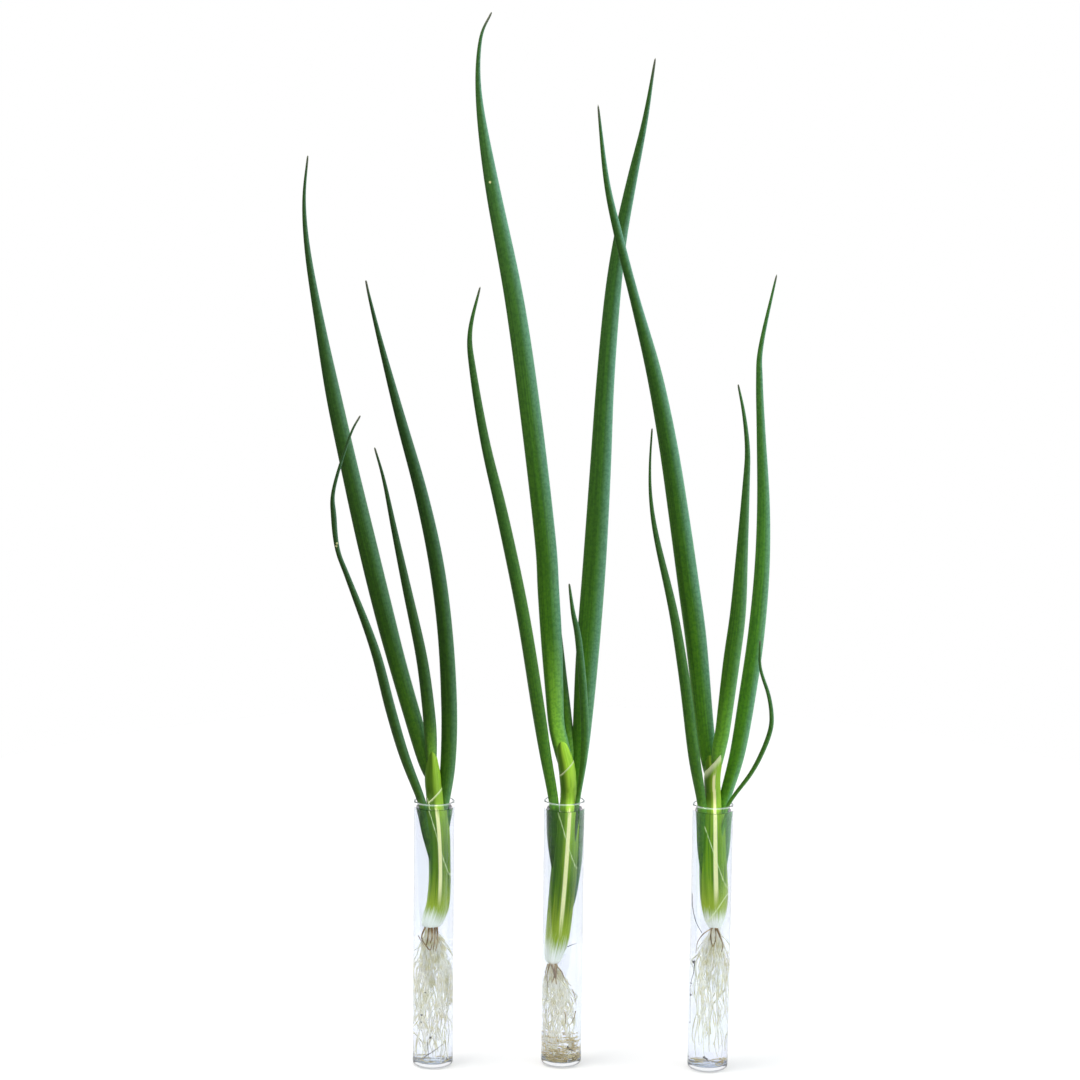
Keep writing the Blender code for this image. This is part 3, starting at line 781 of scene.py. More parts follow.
def grow(name, rows, sides, depth):
    """Extrude a circle, ring by ring, along rows into a closed tube."""
    centres = [Vector(row[:3]) for row in rows]
    tangents = [
        (after - before).normalized()
        for before, after in zip(centres[:1] + centres[:-1], centres[1:] + centres[-1:])
    ]
    widths = rows[:, 3]
    deselect_all()
    bpy.ops.mesh.primitive_circle_add(
        vertices=sides, radius=widths[0] / 2, fill_type="NGON", location=centres[0]
    )
    piece = named_primitive(name)
    bpy.ops.object.mode_set(mode="EDIT")
    bpy.ops.transform.resize(value=(1.0, depth, 1.0), center_override=centres[0])
    right, back = 0.0, 0.0
    for ring, centre in enumerate(centres):
        if ring:
            bpy.ops.mesh.extrude_region_move(
                TRANSFORM_OT_translate={"value": centre - centres[ring - 1]}
            )
            size = widths[ring] / widths[ring - 1]
            bpy.ops.transform.resize(value=(size, size, size), center_override=centre)
        new_right, new_back = lean_of(tangents[ring])
        bpy.ops.transform.rotate(
            value=right - new_right, orient_axis="Y", center_override=centre
        )
        bpy.ops.transform.rotate(value=new_back - back, orient_axis="X", center_override=centre)
        right, back = new_right, new_back
    bpy.ops.object.mode_set(mode="OBJECT")
    place_in_mesh(piece)
    note_places(piece, rows, sides)
    return piece


def note_places(piece, rows, sides):
    """Keep for each point its side, its front and its share of the length, for the materials."""
    piece.data.attributes.new("place", "FLOAT_VECTOR", "POINT")
    piece.data.attributes.new("height", "FLOAT", "POINT")
    place = piece.data.attributes["place"]
    height = piece.data.attributes["height"]
    steps = np.linalg.norm(np.diff(rows[:, :3], axis=0), axis=1)
    travelled = np.concatenate([[0.0], np.cumsum(steps)])
    for number in range(len(piece.data.vertices)):
        ring = number // sides
        turn = math.tau * (number % sides) / sides
        # A circle's first point is at the back, and the next are to its left
        across = -math.sin(turn)
        front = -math.cos(turn)
        place.data[number].vector = (across, front, travelled[ring] / travelled[-1])
        height.data[number].value = rows[ring, 2]


def grow_smooth(name, route, foot, sides, depth=1.0, steps=RING_STEPS):
    """A closed tube along a route, rounded and shaded smooth."""
    piece = grow(name, smooth_route(route, steps, foot), sides, depth)
    rounding = piece.modifiers.new("rounding", "SUBSURF")
    rounding.levels = 1
    rounding.render_levels = 1
    bpy.ops.object.modifier_apply(modifier=rounding.name)
    shade_smooth(piece)
    return piece


# Materials

def add_node(tree, kind, links=None, **settings):
    """Add a shader node. Links give its inputs a value or another node's output."""
    made = tree.nodes.new("ShaderNode" + kind)
    for name, value in settings.items():
        setattr(made, name, value)
    for slot, value in (links or {}).items():
        if isinstance(value, bpy.types.NodeSocket):
            tree.links.new(value, made.inputs[slot])
        else:
            made.inputs[slot].default_value = value
    return made


def new_material(name):
    """A new material with its node tree and its Principled shader."""
    made = bpy.data.materials.new(name)
    made.use_nodes = True
    tree = made.node_tree
    return made, tree, tree.nodes["Principled BSDF"]


def opaque(colour):
    """A colour with full alpha."""
    return (*colour[:3], 1.0)


def colour_ramp(tree, value, stops):
    """The colour at a value, from stops of (position, colour)."""
    ramp = add_node(tree, "ValToRGB", {"Fac": value})
    band = ramp.color_ramp
    while len(band.elements) > 1:
        band.elements.remove(band.elements[-1])
    for number, (position, colour) in enumerate(stops):
        stop = band.elements[0] if number == 0 else band.elements.new(position)
        stop.position = position
        stop.color = opaque(colour)
    return ramp.outputs[0]


def mixed(tree, blend, factor, first, second):
    """Mix two colours."""
    links = {0: factor, 6: first, 7: second}
    return add_node(tree, "Mix", links, data_type="RGBA", blend_type=blend).outputs[2]


def calculated(tree, operation, *values):
    """The result of a Math node."""
    return add_node(tree, "Math", dict(enumerate(values)), operation=operation).outputs[0]


def times(tree, first, second):
    """The product of two values."""
    return calculated(tree, "MULTIPLY", first, second)


def step_between(tree, value, start, end):
    """A smooth step from 0 at start to 1 at end, which may be the lower one."""
    links = {"Value": value, "From Min": start, "From Max": end}
    return add_node(tree, "MapRange", links, interpolation_type="SMOOTHSTEP").outputs[0]


def add_range(tree, value, low, high, least, most):
    """A value mapped from one range to another, and kept in it."""
    links = {"Value": value, "From Min": low, "From Max": high, "To Min": least, "To Max": most}
    return add_node(tree, "MapRange", links).outputs[0]


def grey_of(tree, value):
    """A value as a grey colour."""
    return add_node(tree, "CombineColor", {"Red": value, "Green": value, "Blue": value}).outputs[0]


def object_place(tree):
    """A point's place in its piece."""
    return add_node(tree, "TexCoord").outputs["Object"]


def kept_places(tree):
    """What note_places kept: the place, its side, front and share of the length, and the height."""
    place = add_node(tree, "Attribute", attribute_name="place").outputs["Vector"]
    side, front, along = add_node(tree, "SeparateXYZ", {"Vector": place}).outputs
    height = add_node(tree, "Attribute", attribute_name="height").outputs["Fac"]
    return place, side, front, along, height


def near_light_stripe(tree, side, full, none):
    """How close a point is to the stripe of painted light: 1 within one distance, and 0 outside another."""
    away = calculated(tree, "ABSOLUTE", calculated(tree, "SUBTRACT", side, LIGHT_STRIPE_MIDDLE))
    return step_between(tree, away, none, full)


def more_bounces(tree, kind, bounces=0.5):
    """Whether a ray has had more than some bounces of a kind."""
    return calculated(tree, "GREATER_THAN", add_node(tree, "LightPath").outputs[kind], bounces)


def roughen(tree, shader, height, strength, distance):
    """Bump a shader's surface by a pattern."""
    bump = add_node(tree, "Bump", {"Height": height, "Strength": strength, "Distance": distance})
    tree.links.new(bump.outputs[0], shader.inputs["Normal"])


def shown_share(tree, noise, start, end, strength):
    """How much of a noise pattern shows at a point."""
    return times(tree, step_between(tree, noise, start, end), strength)


def lengthwise_noise(tree, place, across, along, seed):
    """Noise that is drawn out along a leaf, and closes round it."""
    stretched = {"Vector": place, "Scale": (across, across, along), "Location": (seed, 0.0, seed)}
    stretch = add_node(tree, "Mapping", stretched).outputs[0]
    noise = add_node(tree, "TexNoise", {"Vector": stretch, "Scale": 1.0, "Detail": 3.0, "Roughness": 0.6})
    return noise.outputs["Fac"]


def leaf_material(name, looks, seed, tone, bloom_and_sheen):
    """Waxy leaf: fresh green foot, deeper green above, fine lengthwise lines and a dry tip."""
    made, tree, shader = new_material(name)
    plant = name.split("_")[0]
    place, side, _, along, height = kept_places(tree)
    lines = lengthwise_noise(tree, place, *LEAF_LINE_SCALE, seed)
    blotches = lengthwise_noise(tree, place, *LEAF_BLOTCH_SCALE, seed + 3.7)
    greens = colour_ramp(tree, along, [
        (0.0, looks.foot_green),
        (0.08, looks.foot_green),
        (0.26, looks.leaf_green),
        (0.75, looks.deep_green),
        (1.0, looks.deep_green),
    ])
    lightness = add_range(tree, height, *WATER_EDGE, WET_TONES[plant], tone)
    toned = mixed(tree, "MULTIPLY", 1.0, greens, grey_of(tree, lightness))
    # Painted shade on the left side of the leaf, painted light on its right side
    sides = mixed(tree, "MIX", step_between(tree, side, -1.0, 0.4), LEAF_PAINTED_SHADE, LEAF_PAINTED_LIGHT)
    painted_side_lit = mixed(tree, "MULTIPLY", 1.0, toned, sides)
    in_line = shown_share(tree, lines, *LEAF_LINE_BAND)
    lined = mixed(tree, "MULTIPLY", in_line, painted_side_lit, LEAF_LINES)
    # Bluish wax bloom, with a painted sheen on the right side, where the light falls
    waxed_and_sheened = mixed(tree, "MIX", bloom_and_sheen_share(tree, side, height, blotches, bloom_and_sheen), lined, WAX_BLUE_AND_SHEEN)
    # A fresh yellow-green foot with painted light on its middle, a little to the right where the light
    # falls
    if name in LIT_FRESH_FEET:
        low, high, share = LIT_FRESH_FEET[name]
        lowest = add_range(tree, height, high * MM, low * MM, 0.0, share)
        fresh_and_lit = times(tree, lowest, near_light_stripe(tree, side, 0.35, 0.95))
        waxed_and_sheened = mixed(tree, "MIX", fresh_and_lit, waxed_and_sheened, FRESH_LIT_FOOT)
    in_blotch = shown_share(tree, blotches, *LEAF_BLOTCH_BAND)
    patchy = mixed(tree, "MULTIPLY", in_blotch, waxed_and_sheened, LEAF_BLOTCHES)
    marked = speckled(tree, patchy, looks, foot_of(plant), LEAF_MARKS.get(name, ()))
    ragged = calculated(tree, "ADD", along, add_range(tree, blotches, 0.3, 0.7, -0.02, 0.02))
    dried = mixed(tree, "MIX", step_between(tree, ragged, 0.970, 1.0), marked, opaque(looks.dry_tip))
    tree.links.new(dried, shader.inputs["Base Color"])
    roughen(tree, shader, lines, 0.35, 0.4 * MM)
    shader.inputs["Roughness"].default_value = 0.45
    shader.inputs["Coat Weight"].default_value = 0.05
    shader.inputs["Coat Roughness"].default_value = 0.35
    shader.inputs["Specular IOR Level"].default_value = 0.4
    return made


def bloom_and_sheen_share(tree, side, height, blotches, bloom_and_sheen):
    """How much wax bloom and painted sheen show: on the right side, where the light falls, uneven, and less
    in the water.
    """
    above_water = times(tree, add_range(tree, height, *BLOOM_AND_SHEEN_EDGE, 0.55, 1.0), bloom_and_sheen)
    rightwards = times(tree, step_between(tree, side, 0.0, 1.0), above_water)
    return times(tree, rightwards, add_range(tree, blotches, 0.3, 0.7, 0.55, 1.0))


def speckled(tree, colour, looks, foot, marks):
    """A leaf's colour with fine darker speckles, and its pale specks."""
    spot = object_place(tree)
    dots = add_node(tree, "TexNoise", {"Vector": spot, "Scale": 720.0, "Detail": 2.0}).outputs["Fac"]
    in_dot = shown_share(tree, dots, *LEAF_SPECKLE_BAND)
    colour = mixed(tree, "MULTIPLY", in_dot, colour, LEAF_SPECKLES)
    for x, y, z, size in marks:
        middle = foot + Vector((x, y, z)) * MM
        away = add_node(tree, "VectorMath", {0: spot, 1: middle}, operation="DISTANCE").outputs["Value"]
        near = times(tree, step_between(tree, away, size * MM, size * 0.4 * MM), 0.8)
        colour = mixed(tree, "MIX", near, colour, opaque(looks.light_stripe_and_speck_cream))
    return colour


def stem_material(name, looks, seed, plant, edge=None):
    """Stem: white bulb, yellow-green shaft, bright green collar, and a cream stripe of painted light in
    front.

    An edge is a sheath's cut: a point, a normal and how far the pale rim reaches.
    """
    made, tree, shader = new_material(name)
    place, side, front, _, height = kept_places(tree)
    bright_from, bright_to, _, light_stripe_top, _ = COLLAR_LIGHTS[plant]
    veins = lengthwise_noise(tree, place, *STEM_VEIN_SCALE, seed)
    fine = lengthwise_noise(tree, place, *STEM_LINE_SCALE, seed + 1.3)
    level = add_range(tree, height, STEMS[plant][0][2] * MM, STEMS[plant][-1][2] * MM, 0.0, 1.0)
    rise = calculated(tree, "ADD", level, add_range(tree, fine, 0.35, 0.65, -0.035, 0.035))
    ragged = calculated(tree, "ADD", height, add_range(tree, fine, 0.35, 0.65, -3.0 * MM, 3.0 * MM))
    shaft = shaft_colour(tree, looks, plant, side, rise, veins, fine)
    collar = collar_colour(tree, looks, plant, side, height, veins)
    brightness = step_between(tree, ragged, bright_from * MM, bright_to * MM)
    colour = mixed(tree, "MIX", brightness, shaft, collar)
    # A cream stripe of painted light down the front of the stem
    in_light_stripe = times(tree, near_light_stripe(tree, side, 0.13, 0.22), step_between(tree, front, 0.0, 0.3))
    under_top = step_between(tree, ragged, (light_stripe_top + 1.0) * MM, (light_stripe_top - 2.0) * MM)
    light_striped = times(tree, in_light_stripe, times(tree, under_top, step_between(tree, rise, 0.12, 0.30)))
    colour = mixed(tree, "MIX", light_striped, colour, opaque(looks.light_stripe_and_speck_cream))
    if edge:
        colour = mixed(tree, "MIX", rim_share(tree, fine, *edge), colour, opaque(looks.rim_pale))
    tree.links.new(colour, shader.inputs["Base Color"])
    roughen(tree, shader, veins, 0.5, 0.5 * MM)
    shader.inputs["Roughness"].default_value = 0.4
    shader.inputs["Specular IOR Level"].default_value = 0.2
    return made


def shaft_colour(tree, looks, plant, side, rise, veins, fine):
    """White bulb, then yellow-green with darker veins, fine lines and painted shade on the left side."""
    tone, shade = STEM_TONES[plant]
    green = [channel * tone for channel in looks.stem_green]
    greens = colour_ramp(tree, rise, [
        (0.0, looks.bulb_white),
        (0.055, looks.bulb_white),
        (0.13, looks.young_green),
        (0.40, green),
        (1.0, green),
    ])
    in_vein = shown_share(tree, veins, *STEM_VEIN_BAND)
    in_vein = times(tree, in_vein, step_between(tree, rise, 0.12, 0.35))
    veined = mixed(tree, "MULTIPLY", in_vein, greens, STEM_VEINS)
    in_line = shown_share(tree, fine, *STEM_LINE_BAND)
    lined = mixed(tree, "MULTIPLY", in_line, veined, STEM_LINES)
    # Painted shade on the stem's left side
    painted_shade_left = times(tree, step_between(tree, side, 0.1, -0.6), step_between(tree, rise, 0.2, 0.6))
    return mixed(tree, "MULTIPLY", times(tree, painted_shade_left, shade), lined, STEM_PAINTED_SHADE)


def collar_colour(tree, looks, plant, side, height, veins):
    """The bright green of a collar, with painted light that grows towards its top and painted shade on its
    left side.
    """
    _, _, lights, _, shade_ends = COLLAR_LIGHTS[plant]
    green = opaque(looks.collar_green)
    # Painted light that grows with height, and painted shade on the left side
    light = grey_of(tree, add_range(tree, height, *COLLAR_RISE, *lights))
    painted_lit = mixed(tree, "MULTIPLY", 1.0, green, light)
    painted_unlit = mixed(tree, "MULTIPLY", 1.0, green, COLLAR_PAINTED_SHADE)
    painted_shaded = mixed(tree, "MIX", step_between(tree, side, *shade_ends), painted_unlit, painted_lit)
    in_vein = shown_share(tree, veins, *COLLAR_VEIN_BAND)
    return mixed(tree, "MULTIPLY", in_vein, painted_shaded, COLLAR_VEINS)


def rim_share(tree, fine, point, normal, width):
    """How much a point is on the pale rim along a sheath's cut."""
    away = add_node(
        tree, "VectorMath", {0: object_place(tree), 1: point}, operation="SUBTRACT"
    ).outputs["Vector"]
    depth = add_node(tree, "VectorMath", {0: away, 1: normal}, operation="DOT_PRODUCT").outputs["Value"]
    ragged = calculated(tree, "ADD", depth, add_range(tree, fine, 0.3, 0.7, -0.4 * MM, 0.2 * MM))
    return times(tree, step_between(tree, ragged, -width, -width * 0.2), 0.8)


def clear_material(name, tint, index, seed, wave, rim=None):
    """Clear glass or water, with a very faint unevenness of its surface.

    A tube's rim height gives it a painted glow of light round its rim, and painted shade as a greyer edge
    round its foot.
    """
    made, tree, shader = new_material(name)
    spot = object_place(tree)
    links = {"Vector": spot, "Scale": 60.0, "Detail": 1.0, "W": seed}
    cloud = add_node(tree, "TexNoise", links, noise_dimensions="4D")
    tinted = mixed(tree, "MULTIPLY", 0.04, opaque(tint), cloud.outputs["Color"])
    if rim:
        height = add_node(tree, "SeparateXYZ", {"Vector": spot}).outputs[2]
        # Painted shade: a greyer edge round the foot
        foot_shade_share = step_between(tree, height, 1.1 * MM, 0.5 * MM)
        tinted = mixed(tree, "MIX", foot_shade_share, tinted, GLASS_FOOT_SHADE)
        # Painted light: the rim glows
        rim_glow_share = step_between(tree, height, rim - 0.9 * MM, rim - 0.4 * MM)
        tree.links.new(mixed(tree, "MIX", rim_glow_share, BLACK, GLASS_RIM_GLOW), shader.inputs["Emission Color"])
        shader.inputs["Emission Strength"].default_value = 0.22
    tree.links.new(tinted, shader.inputs["Base Color"])
    roughen(tree, shader, cloud.outputs["Fac"], wave, 0.2 * MM)
    shader.inputs["Roughness"].default_value = 0.0
    shader.inputs["IOR"].default_value = index
    shader.inputs["Transmission Weight"].default_value = 1.0
    return made


def root_material(name, colour, shade):
    """Roots: strands with darker and lighter stretches, and a painted glow of light that stands for the
    light they pass on.
    """
    seed, clear, painted_glow = ROOT_FINISHES[name]
    made, tree, shader = new_material(name)
    spot = object_place(tree)
    links = {"Vector": spot, "Scale": 260.0, "Detail": 2.0, "W": seed}
    cloud = add_node(tree, "TexNoise", links, noise_dimensions="4D").outputs["Fac"]
    grain = add_node(tree, "TexNoise", {"Vector": spot, "Scale": 1800.0, "Detail": 2.0}).outputs["Fac"]
    patches = shown_share(tree, cloud, *ROOT_PATCH_BAND)
    patchy = mixed(tree, "MIX", patches, opaque(colour), opaque(shade))
    tree.links.new(patchy, shader.inputs["Base Color"])
    # Painted light: the roots glow in their own colour
    tree.links.new(patchy, shader.inputs["Emission Color"])
    roughen(tree, shader, grain, 0.4, 0.2 * MM)
    shader.inputs["Emission Strength"].default_value = painted_glow
    shader.inputs["Roughness"].default_value = 0.4
    shader.inputs["IOR"].default_value = 1.3
    shader.inputs["Transmission Weight"].default_value = clear
    return made


# Pieces

def add_cylinder(name, foot, radius, bottom, tall):
    """An upright cylinder over a tube's foot, open to edit mode's tools."""
    deselect_all()
    bpy.ops.mesh.primitive_cylinder_add(
        vertices=TUBE_SIDES, radius=radius, depth=tall, location=(foot.x, foot.y, bottom + tall / 2)
    )
    piece = named_primitive(name)
    place_in_mesh(piece)
    bpy.ops.object.mode_set(mode="EDIT")
    return piece


def faces_up(face):
    """Whether a face points upwards."""
    return face.normal.z > 0.5


def round_ring(piece, height, rounding, segments=6):
    """Round the edges at a height, in edit mode."""
    near = 1e-5
    choose(piece, "edges", lambda edge: all(abs(vert.co.z - height) < near for vert in edge.verts))
    bpy.ops.mesh.bevel(offset=rounding, segments=segments, affect="EDGES")


def add_loops(foot, heights):
    """Cut level loops into the walls in edit mode, so that they are shaded as straight."""
    for height in heights:
        bpy.ops.mesh.select_all(action="SELECT")
        bpy.ops.mesh.bisect(plane_co=foot + Vector((0.0, 0.0, height)), plane_no=(0.0, 0.0, 1.0))


def make_tube(side, looks, material):
    """A glass tube: a cylinder with its inside sunk in, and its edges rounded."""
    low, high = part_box(side + "_tube")
    foot = foot_of(side)
    tall = high.z - low.z
    piece = add_cylinder(side + "_tube_glass", foot, (high.x - low.x) / 2, foot.z, tall)
    choose(piece, "faces", faces_up)
    bpy.ops.mesh.inset(thickness=looks.wall, depth=0.0)
    bpy.ops.mesh.extrude_region_move(
        TRANSFORM_OT_translate={"value": (0.0, 0.0, looks.floor - tall)}
    )
    rim_rounding = looks.wall * 0.45
    inner_rounding = looks.wall * 2
    round_ring(piece, foot.z, looks.foot_rounding)
    round_ring(piece, high.z, rim_rounding, segments=4)
    round_ring(piece, foot.z + looks.floor, inner_rounding)
    add_loops(foot, (looks.floor + looks.wall * 3, tall - looks.wall))
    bpy.ops.object.mode_set(mode="OBJECT")
    shade_smooth(piece, angle=40.0)
    hand_over(piece, material, side + "_tube")


def make_water(side, looks, material):
    """Water to its level, climbing a little at the glass."""
    low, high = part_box(side + "_tube")
    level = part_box(side + "_water")[1].z
    foot = foot_of(side)
    overlap = 0.02 * MM
    radius = (high.x - low.x) / 2 - looks.wall + overlap
    bottom = foot.z + looks.floor - overlap
    tall = level + looks.meniscus - bottom
    piece = add_cylinder(side + "_water_body", foot, radius, bottom, tall)
    round_ring(piece, bottom, looks.wall * 2)
    choose(piece, "faces", lambda face: faces_up(face) and face.calc_center_median().z > level)
    for width, drop in MENISCUS_STEPS:
        bpy.ops.mesh.inset(thickness=width * MM, depth=0.0)
        bpy.ops.transform.translate(value=(0.0, 0.0, -drop * looks.meniscus))
    add_loops(foot, (looks.floor + looks.wall * 3, level - foot.z - looks.wall))
    bpy.ops.object.mode_set(mode="OBJECT")
    shade_smooth(piece, angle=60.0)
    hand_over(piece, material, side + "_water")


def make_leaf(name, looks, material):
    """One leaf, grown along its route."""
    foot = foot_of(name.split("_")[0])
    piece = grow_smooth(name + "_blade", LEAVES[name], foot, looks.leaf_sides, LEAF_DEPTH)
    hand_over(piece, material, name)


def make_stem(side, looks, seed):
    """Bulb and stem, grown as one."""
    piece = grow_smooth(side + "_stem_shaft", STEMS[side], foot_of(side), looks.stem_sides)
    material = stem_material(side + "_stem", looks, seed, side)
    hand_over(piece, material, side + "_stem")


def make_collar(side, looks, seed):
    """The tongue that carries a stem on over the feet of its leaves."""
    name = side + "_collar"
    piece = grow_smooth(name, COLLARS[side], foot_of(side), looks.stem_sides)
    hand_over(piece, stem_material(name, looks, seed, side))


def make_sheath(name, looks, seed):
    """A thin skin round part of a stem, with a slanted free edge."""
    side, low, high, start, end, pale = SHEATHS[name]
    foot = foot_of(side)
    rows = smooth_route(SHEATH_ROUTES.get(name, STEMS[side]), RING_STEPS, foot)
    heights = (rows[:, 2] - foot.z) / MM
    rows = rows[(heights > low) & (heights < high)]
    # The lowest rows sink into the stem, so that the skin has no lower edge
    rows[:, 3] += SHEATH_SKIN * MM * np.linspace(-1.0, 3.0, len(rows)).clip(-1.0, 1.0)
    piece = grow(name, rows, looks.stem_sides, 1.0)
    point = foot + Vector((start[0], 0.0, start[1])) * MM
    line = Vector((end[0] - start[0], 0.0, end[1] - start[1])).normalized()
    normal = Vector((-line.z, 0.0, line.x))
    bpy.ops.object.mode_set(mode="EDIT")
    choose(piece, "faces", lambda face: len(face.verts) > 4)
    bpy.ops.mesh.delete(type="FACE")
    bpy.ops.mesh.select_all(action="SELECT")
    bpy.ops.mesh.bisect(plane_co=point, plane_no=normal, clear_outer=True)
    bpy.ops.object.mode_set(mode="OBJECT")
    skin = piece.modifiers.new("skin", "SOLIDIFY")
    skin.thickness = SHEATH_SKIN * MM
    skin.offset = -1.0
    bpy.ops.object.modifier_apply(modifier=skin.name)
    shade_smooth(piece, angle=60.0)
    material = stem_material(name, looks, seed, side, (point, normal, pale * MM))
    hand_over(piece, material)


def strand_route(draw, start, end, reach, turn, wave):
    """Points of one root in metres: out from the plate towards the tube's wall, and down."""
    swerve = 0.3
    taper = 0.45
    points = []
    angle = turn + draw.uniform(-swerve, swerve)
    for step in range(ROOT_STEPS + 1):
        share = step / ROOT_STEPS
        # It is fully out after a third of the way, and waves fully after a quarter
        opened = min(1.0, 3.0 * share)
        wander = wave * min(1.0, 4.0 * share)
        x = start.x + (end.x - start.x) * opened + reach * opened * math.cos(angle)
        y = start.y + (end.y - start.y) * opened + reach * opened * math.sin(angle)
        x += draw.uniform(-wander, wander)
        y += draw.uniform(-wander, wander)
        points.append((x, y, start.z + (end.z - start.z) * share, 1.0 - taper * share))
        angle += draw.uniform(-swerve, swerve)
    return points


def kept_in_bore(point, foot):
    """A point moved in to stay inside the tube's bore."""
    out = math.hypot(point[0] - foot.x, point[1] - foot.y) / BORE
    if out <= 1.0:
        return point
    return (foot.x + (point[0] - foot.x) / out, foot.y + (point[1] - foot.y) / out, *point[2:])


def make_strands(name, routes, thickness, material, node=None):
    """Many thin strands as one curve with a round section, turned into a mesh.

    A strand's points are (x, y, z, share of the thickness).
    """
    line = bpy.data.curves.new(name, "CURVE")
    line.dimensions = "3D"
    line.bevel_depth = thickness / 2
    line.bevel_resolution = 1
    line.use_fill_caps = True
    for route in routes:
        fine = smooth_points(route)
        spline = line.splines.new("POLY")
        spline.points.add(len(fine) - 1)
        for point, (x, y, z, size) in zip(spline.points, fine):
            point.co = (x, y, z, 1.0)
            point.radius = size
    piece = bpy.data.objects.new(name, line)
    bpy.context.scene.collection.objects.link(piece)
    pick(piece)
    bpy.ops.object.convert(target="MESH")
    piece = bpy.context.object
    shade_smooth(piece)
    hand_over(piece, material, node)


def smooth_points(route):
    """More points on a smooth curve through a strand's points."""
    in_mm = [tuple(value / MM for value in point) for point in route]
    return smooth_route(in_mm, STRAND_STEPS, (0.0, 0.0, 0.0))


def drawn_routes(drawn, foot):
    """Strands given in millimetres from the foot, as routes in metres for strands 1 mm wide."""
    draw = random.Random(len(drawn))
    bend = 0.4 * MM
    taper = 0.6
    routes = []
    for width, points in drawn:
        last = len(points) - 1
        route = []
        for step, (x, y, z) in enumerate(points):
            astray = draw.uniform(-bend, bend)
            spot = (foot.x + x * MM + astray, foot.y + y * MM, foot.z + z * MM + astray)
            route.append(kept_in_bore((*spot, width * (1.0 - taper * step / last)), foot))
        routes.append(route)
    return routes


def living_roots(side, draw, foot, top, spread):
    """Routes of the living roots from the plate down into the water."""
    strands, reach, hang, wave, depth = ROOT_HABITS[side]
    above_foot = 3.0
    low = foot.z + above_foot * MM
    routes = []
    for strand in range(strands):
        turn = math.tau * strand / strands
        around = Vector((math.cos(turn), math.sin(turn), 0.0))
        start = top + around * spread * draw.uniform(0.1, 0.8)
        # Squaring the draw lets most roots reach far down
        lowest = low + (top.z - low) * (1.0 - depth * (1.0 - 0.6 * draw.random() ** 2.0))
        end = Vector((foot.x + hang * MM, foot.y, lowest))
        out = reach * draw.uniform(0.1, 1.0) ** 0.6 * MM
        route = strand_route(draw, start, end, out, turn, wave * MM)
        routes.append([kept_in_bore(point, foot) for point in route])
    return routes


def sediment_routes(side, draw, foot):
    """Short strands that lie round the tube's bottom, fewer higher up."""
    strands, highest = SUNK_STRANDS[side]
    lowest = 2.6
    tilt = 0.5 * MM
    routes = []
    for _ in range(strands):
        turn = math.tau * draw.random()
        out = BORE * draw.uniform(0.45, 0.98)
        height = foot.z + (lowest + (highest - lowest) * draw.random() ** 2.2) * MM
        arc = draw.uniform(0.15, 0.5)
        routes.append([
            (
                foot.x + out * math.cos(turn + arc * step),
                foot.y + out * math.sin(turn + arc * step),
                height + draw.uniform(-tilt, tilt),
                draw.uniform(0.5, 1.0),
            )
            for step in range(3)
        ])
    return routes


def make_roots(side, looks, materials, seed):
    """Root plate, living roots, dead brown ones, dark bits and what has sunk down."""
    white, brown, dark, sunk = materials
    draw = random.Random(seed)
    foot = foot_of(side)
    x, y, z, width = STEMS[side][0]
    top = foot + Vector((x, y, z - 0.5)) * MM
    living = living_roots(side, draw, foot, top, width * 0.5 * MM)
    make_strands(side + "_living_roots", living, looks.thickness, white, side + "_roots")
    dead = drawn_routes(DEAD_ROOTS[side], foot)
    make_strands(side + "_dead_roots", dead, MM, brown)
    bits = drawn_routes(DARK_BITS[side], foot)
    make_strands(side + "_dark_bits", bits, DARK_BIT_FACTOR * MM, dark)
    sediment = sediment_routes(side, draw, foot)
    make_strands(side + "_sediment", sediment, SUNK_WIDTH * MM, sunk)
    plate_route = [
        (x, y, z - 2.2, width * 0.45),
        (x, y, z - 1.0, width * 0.8),
        (x, y, z + 0.4, width * 0.95),
    ]
    plate = grow_smooth(side + "_root_plate", plate_route, foot, PLATE_SIDES, steps=3)
    hand_over(plate, white)


class ONION_OT_tubes(bpy.types.Operator):
    """Make the three glass tubes"""

    bl_idname = "onion.tubes"
    bl_label = "Glass tubes"

    def execute(self, context):
        looks = context.scene.onion_tube
        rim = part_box("middle_tube")[1].z
        glass = clear_material("tube_glass", looks.glass_tint, index=1.5, seed=2.0, wave=0.02, rim=rim)
        for side in SIDES:
            make_tube(side, looks, glass)
        return {"FINISHED"}


class ONION_OT_water(bpy.types.Operator):
    """Fill the tubes with water"""

    bl_idname = "onion.water"
    bl_label = "Water"

    def execute(self, context):
        looks = context.scene.onion_tube
        water = clear_material("tube_water", looks.water_tint, index=1.33, seed=5.0, wave=0.01)
        for side in SIDES:
            make_water(side, looks, water)
        return {"FINISHED"}


class ONION_OT_leaves(bpy.types.Operator):
    """Make the fourteen leaves"""

    bl_idname = "onion.leaves"
    bl_label = "Leaves"

    def execute(self, context):
        looks = context.scene.onion_leaf
        for number, name in enumerate(LEAVES):
            tone, bloom_and_sheen = LEAF_TONES[name]
            material = leaf_material(name, looks, LEAF_SEED_STEP * number, tone, bloom_and_sheen)
            make_leaf(name, looks, material)
        return {"FINISHED"}


class ONION_OT_stems(bpy.types.Operator):
    """Make the three bulbs and stems"""

    bl_idname = "onion.stems"
    bl_label = "Bulbs and stems"

    def execute(self, context):
        looks = context.scene.onion_leaf
        for number, side in enumerate(SIDES):
            make_stem(side, looks, STEM_SEED_STEP * number)
            make_collar(side, looks, STEM_SEED_STEP * number)
        return {"FINISHED"}


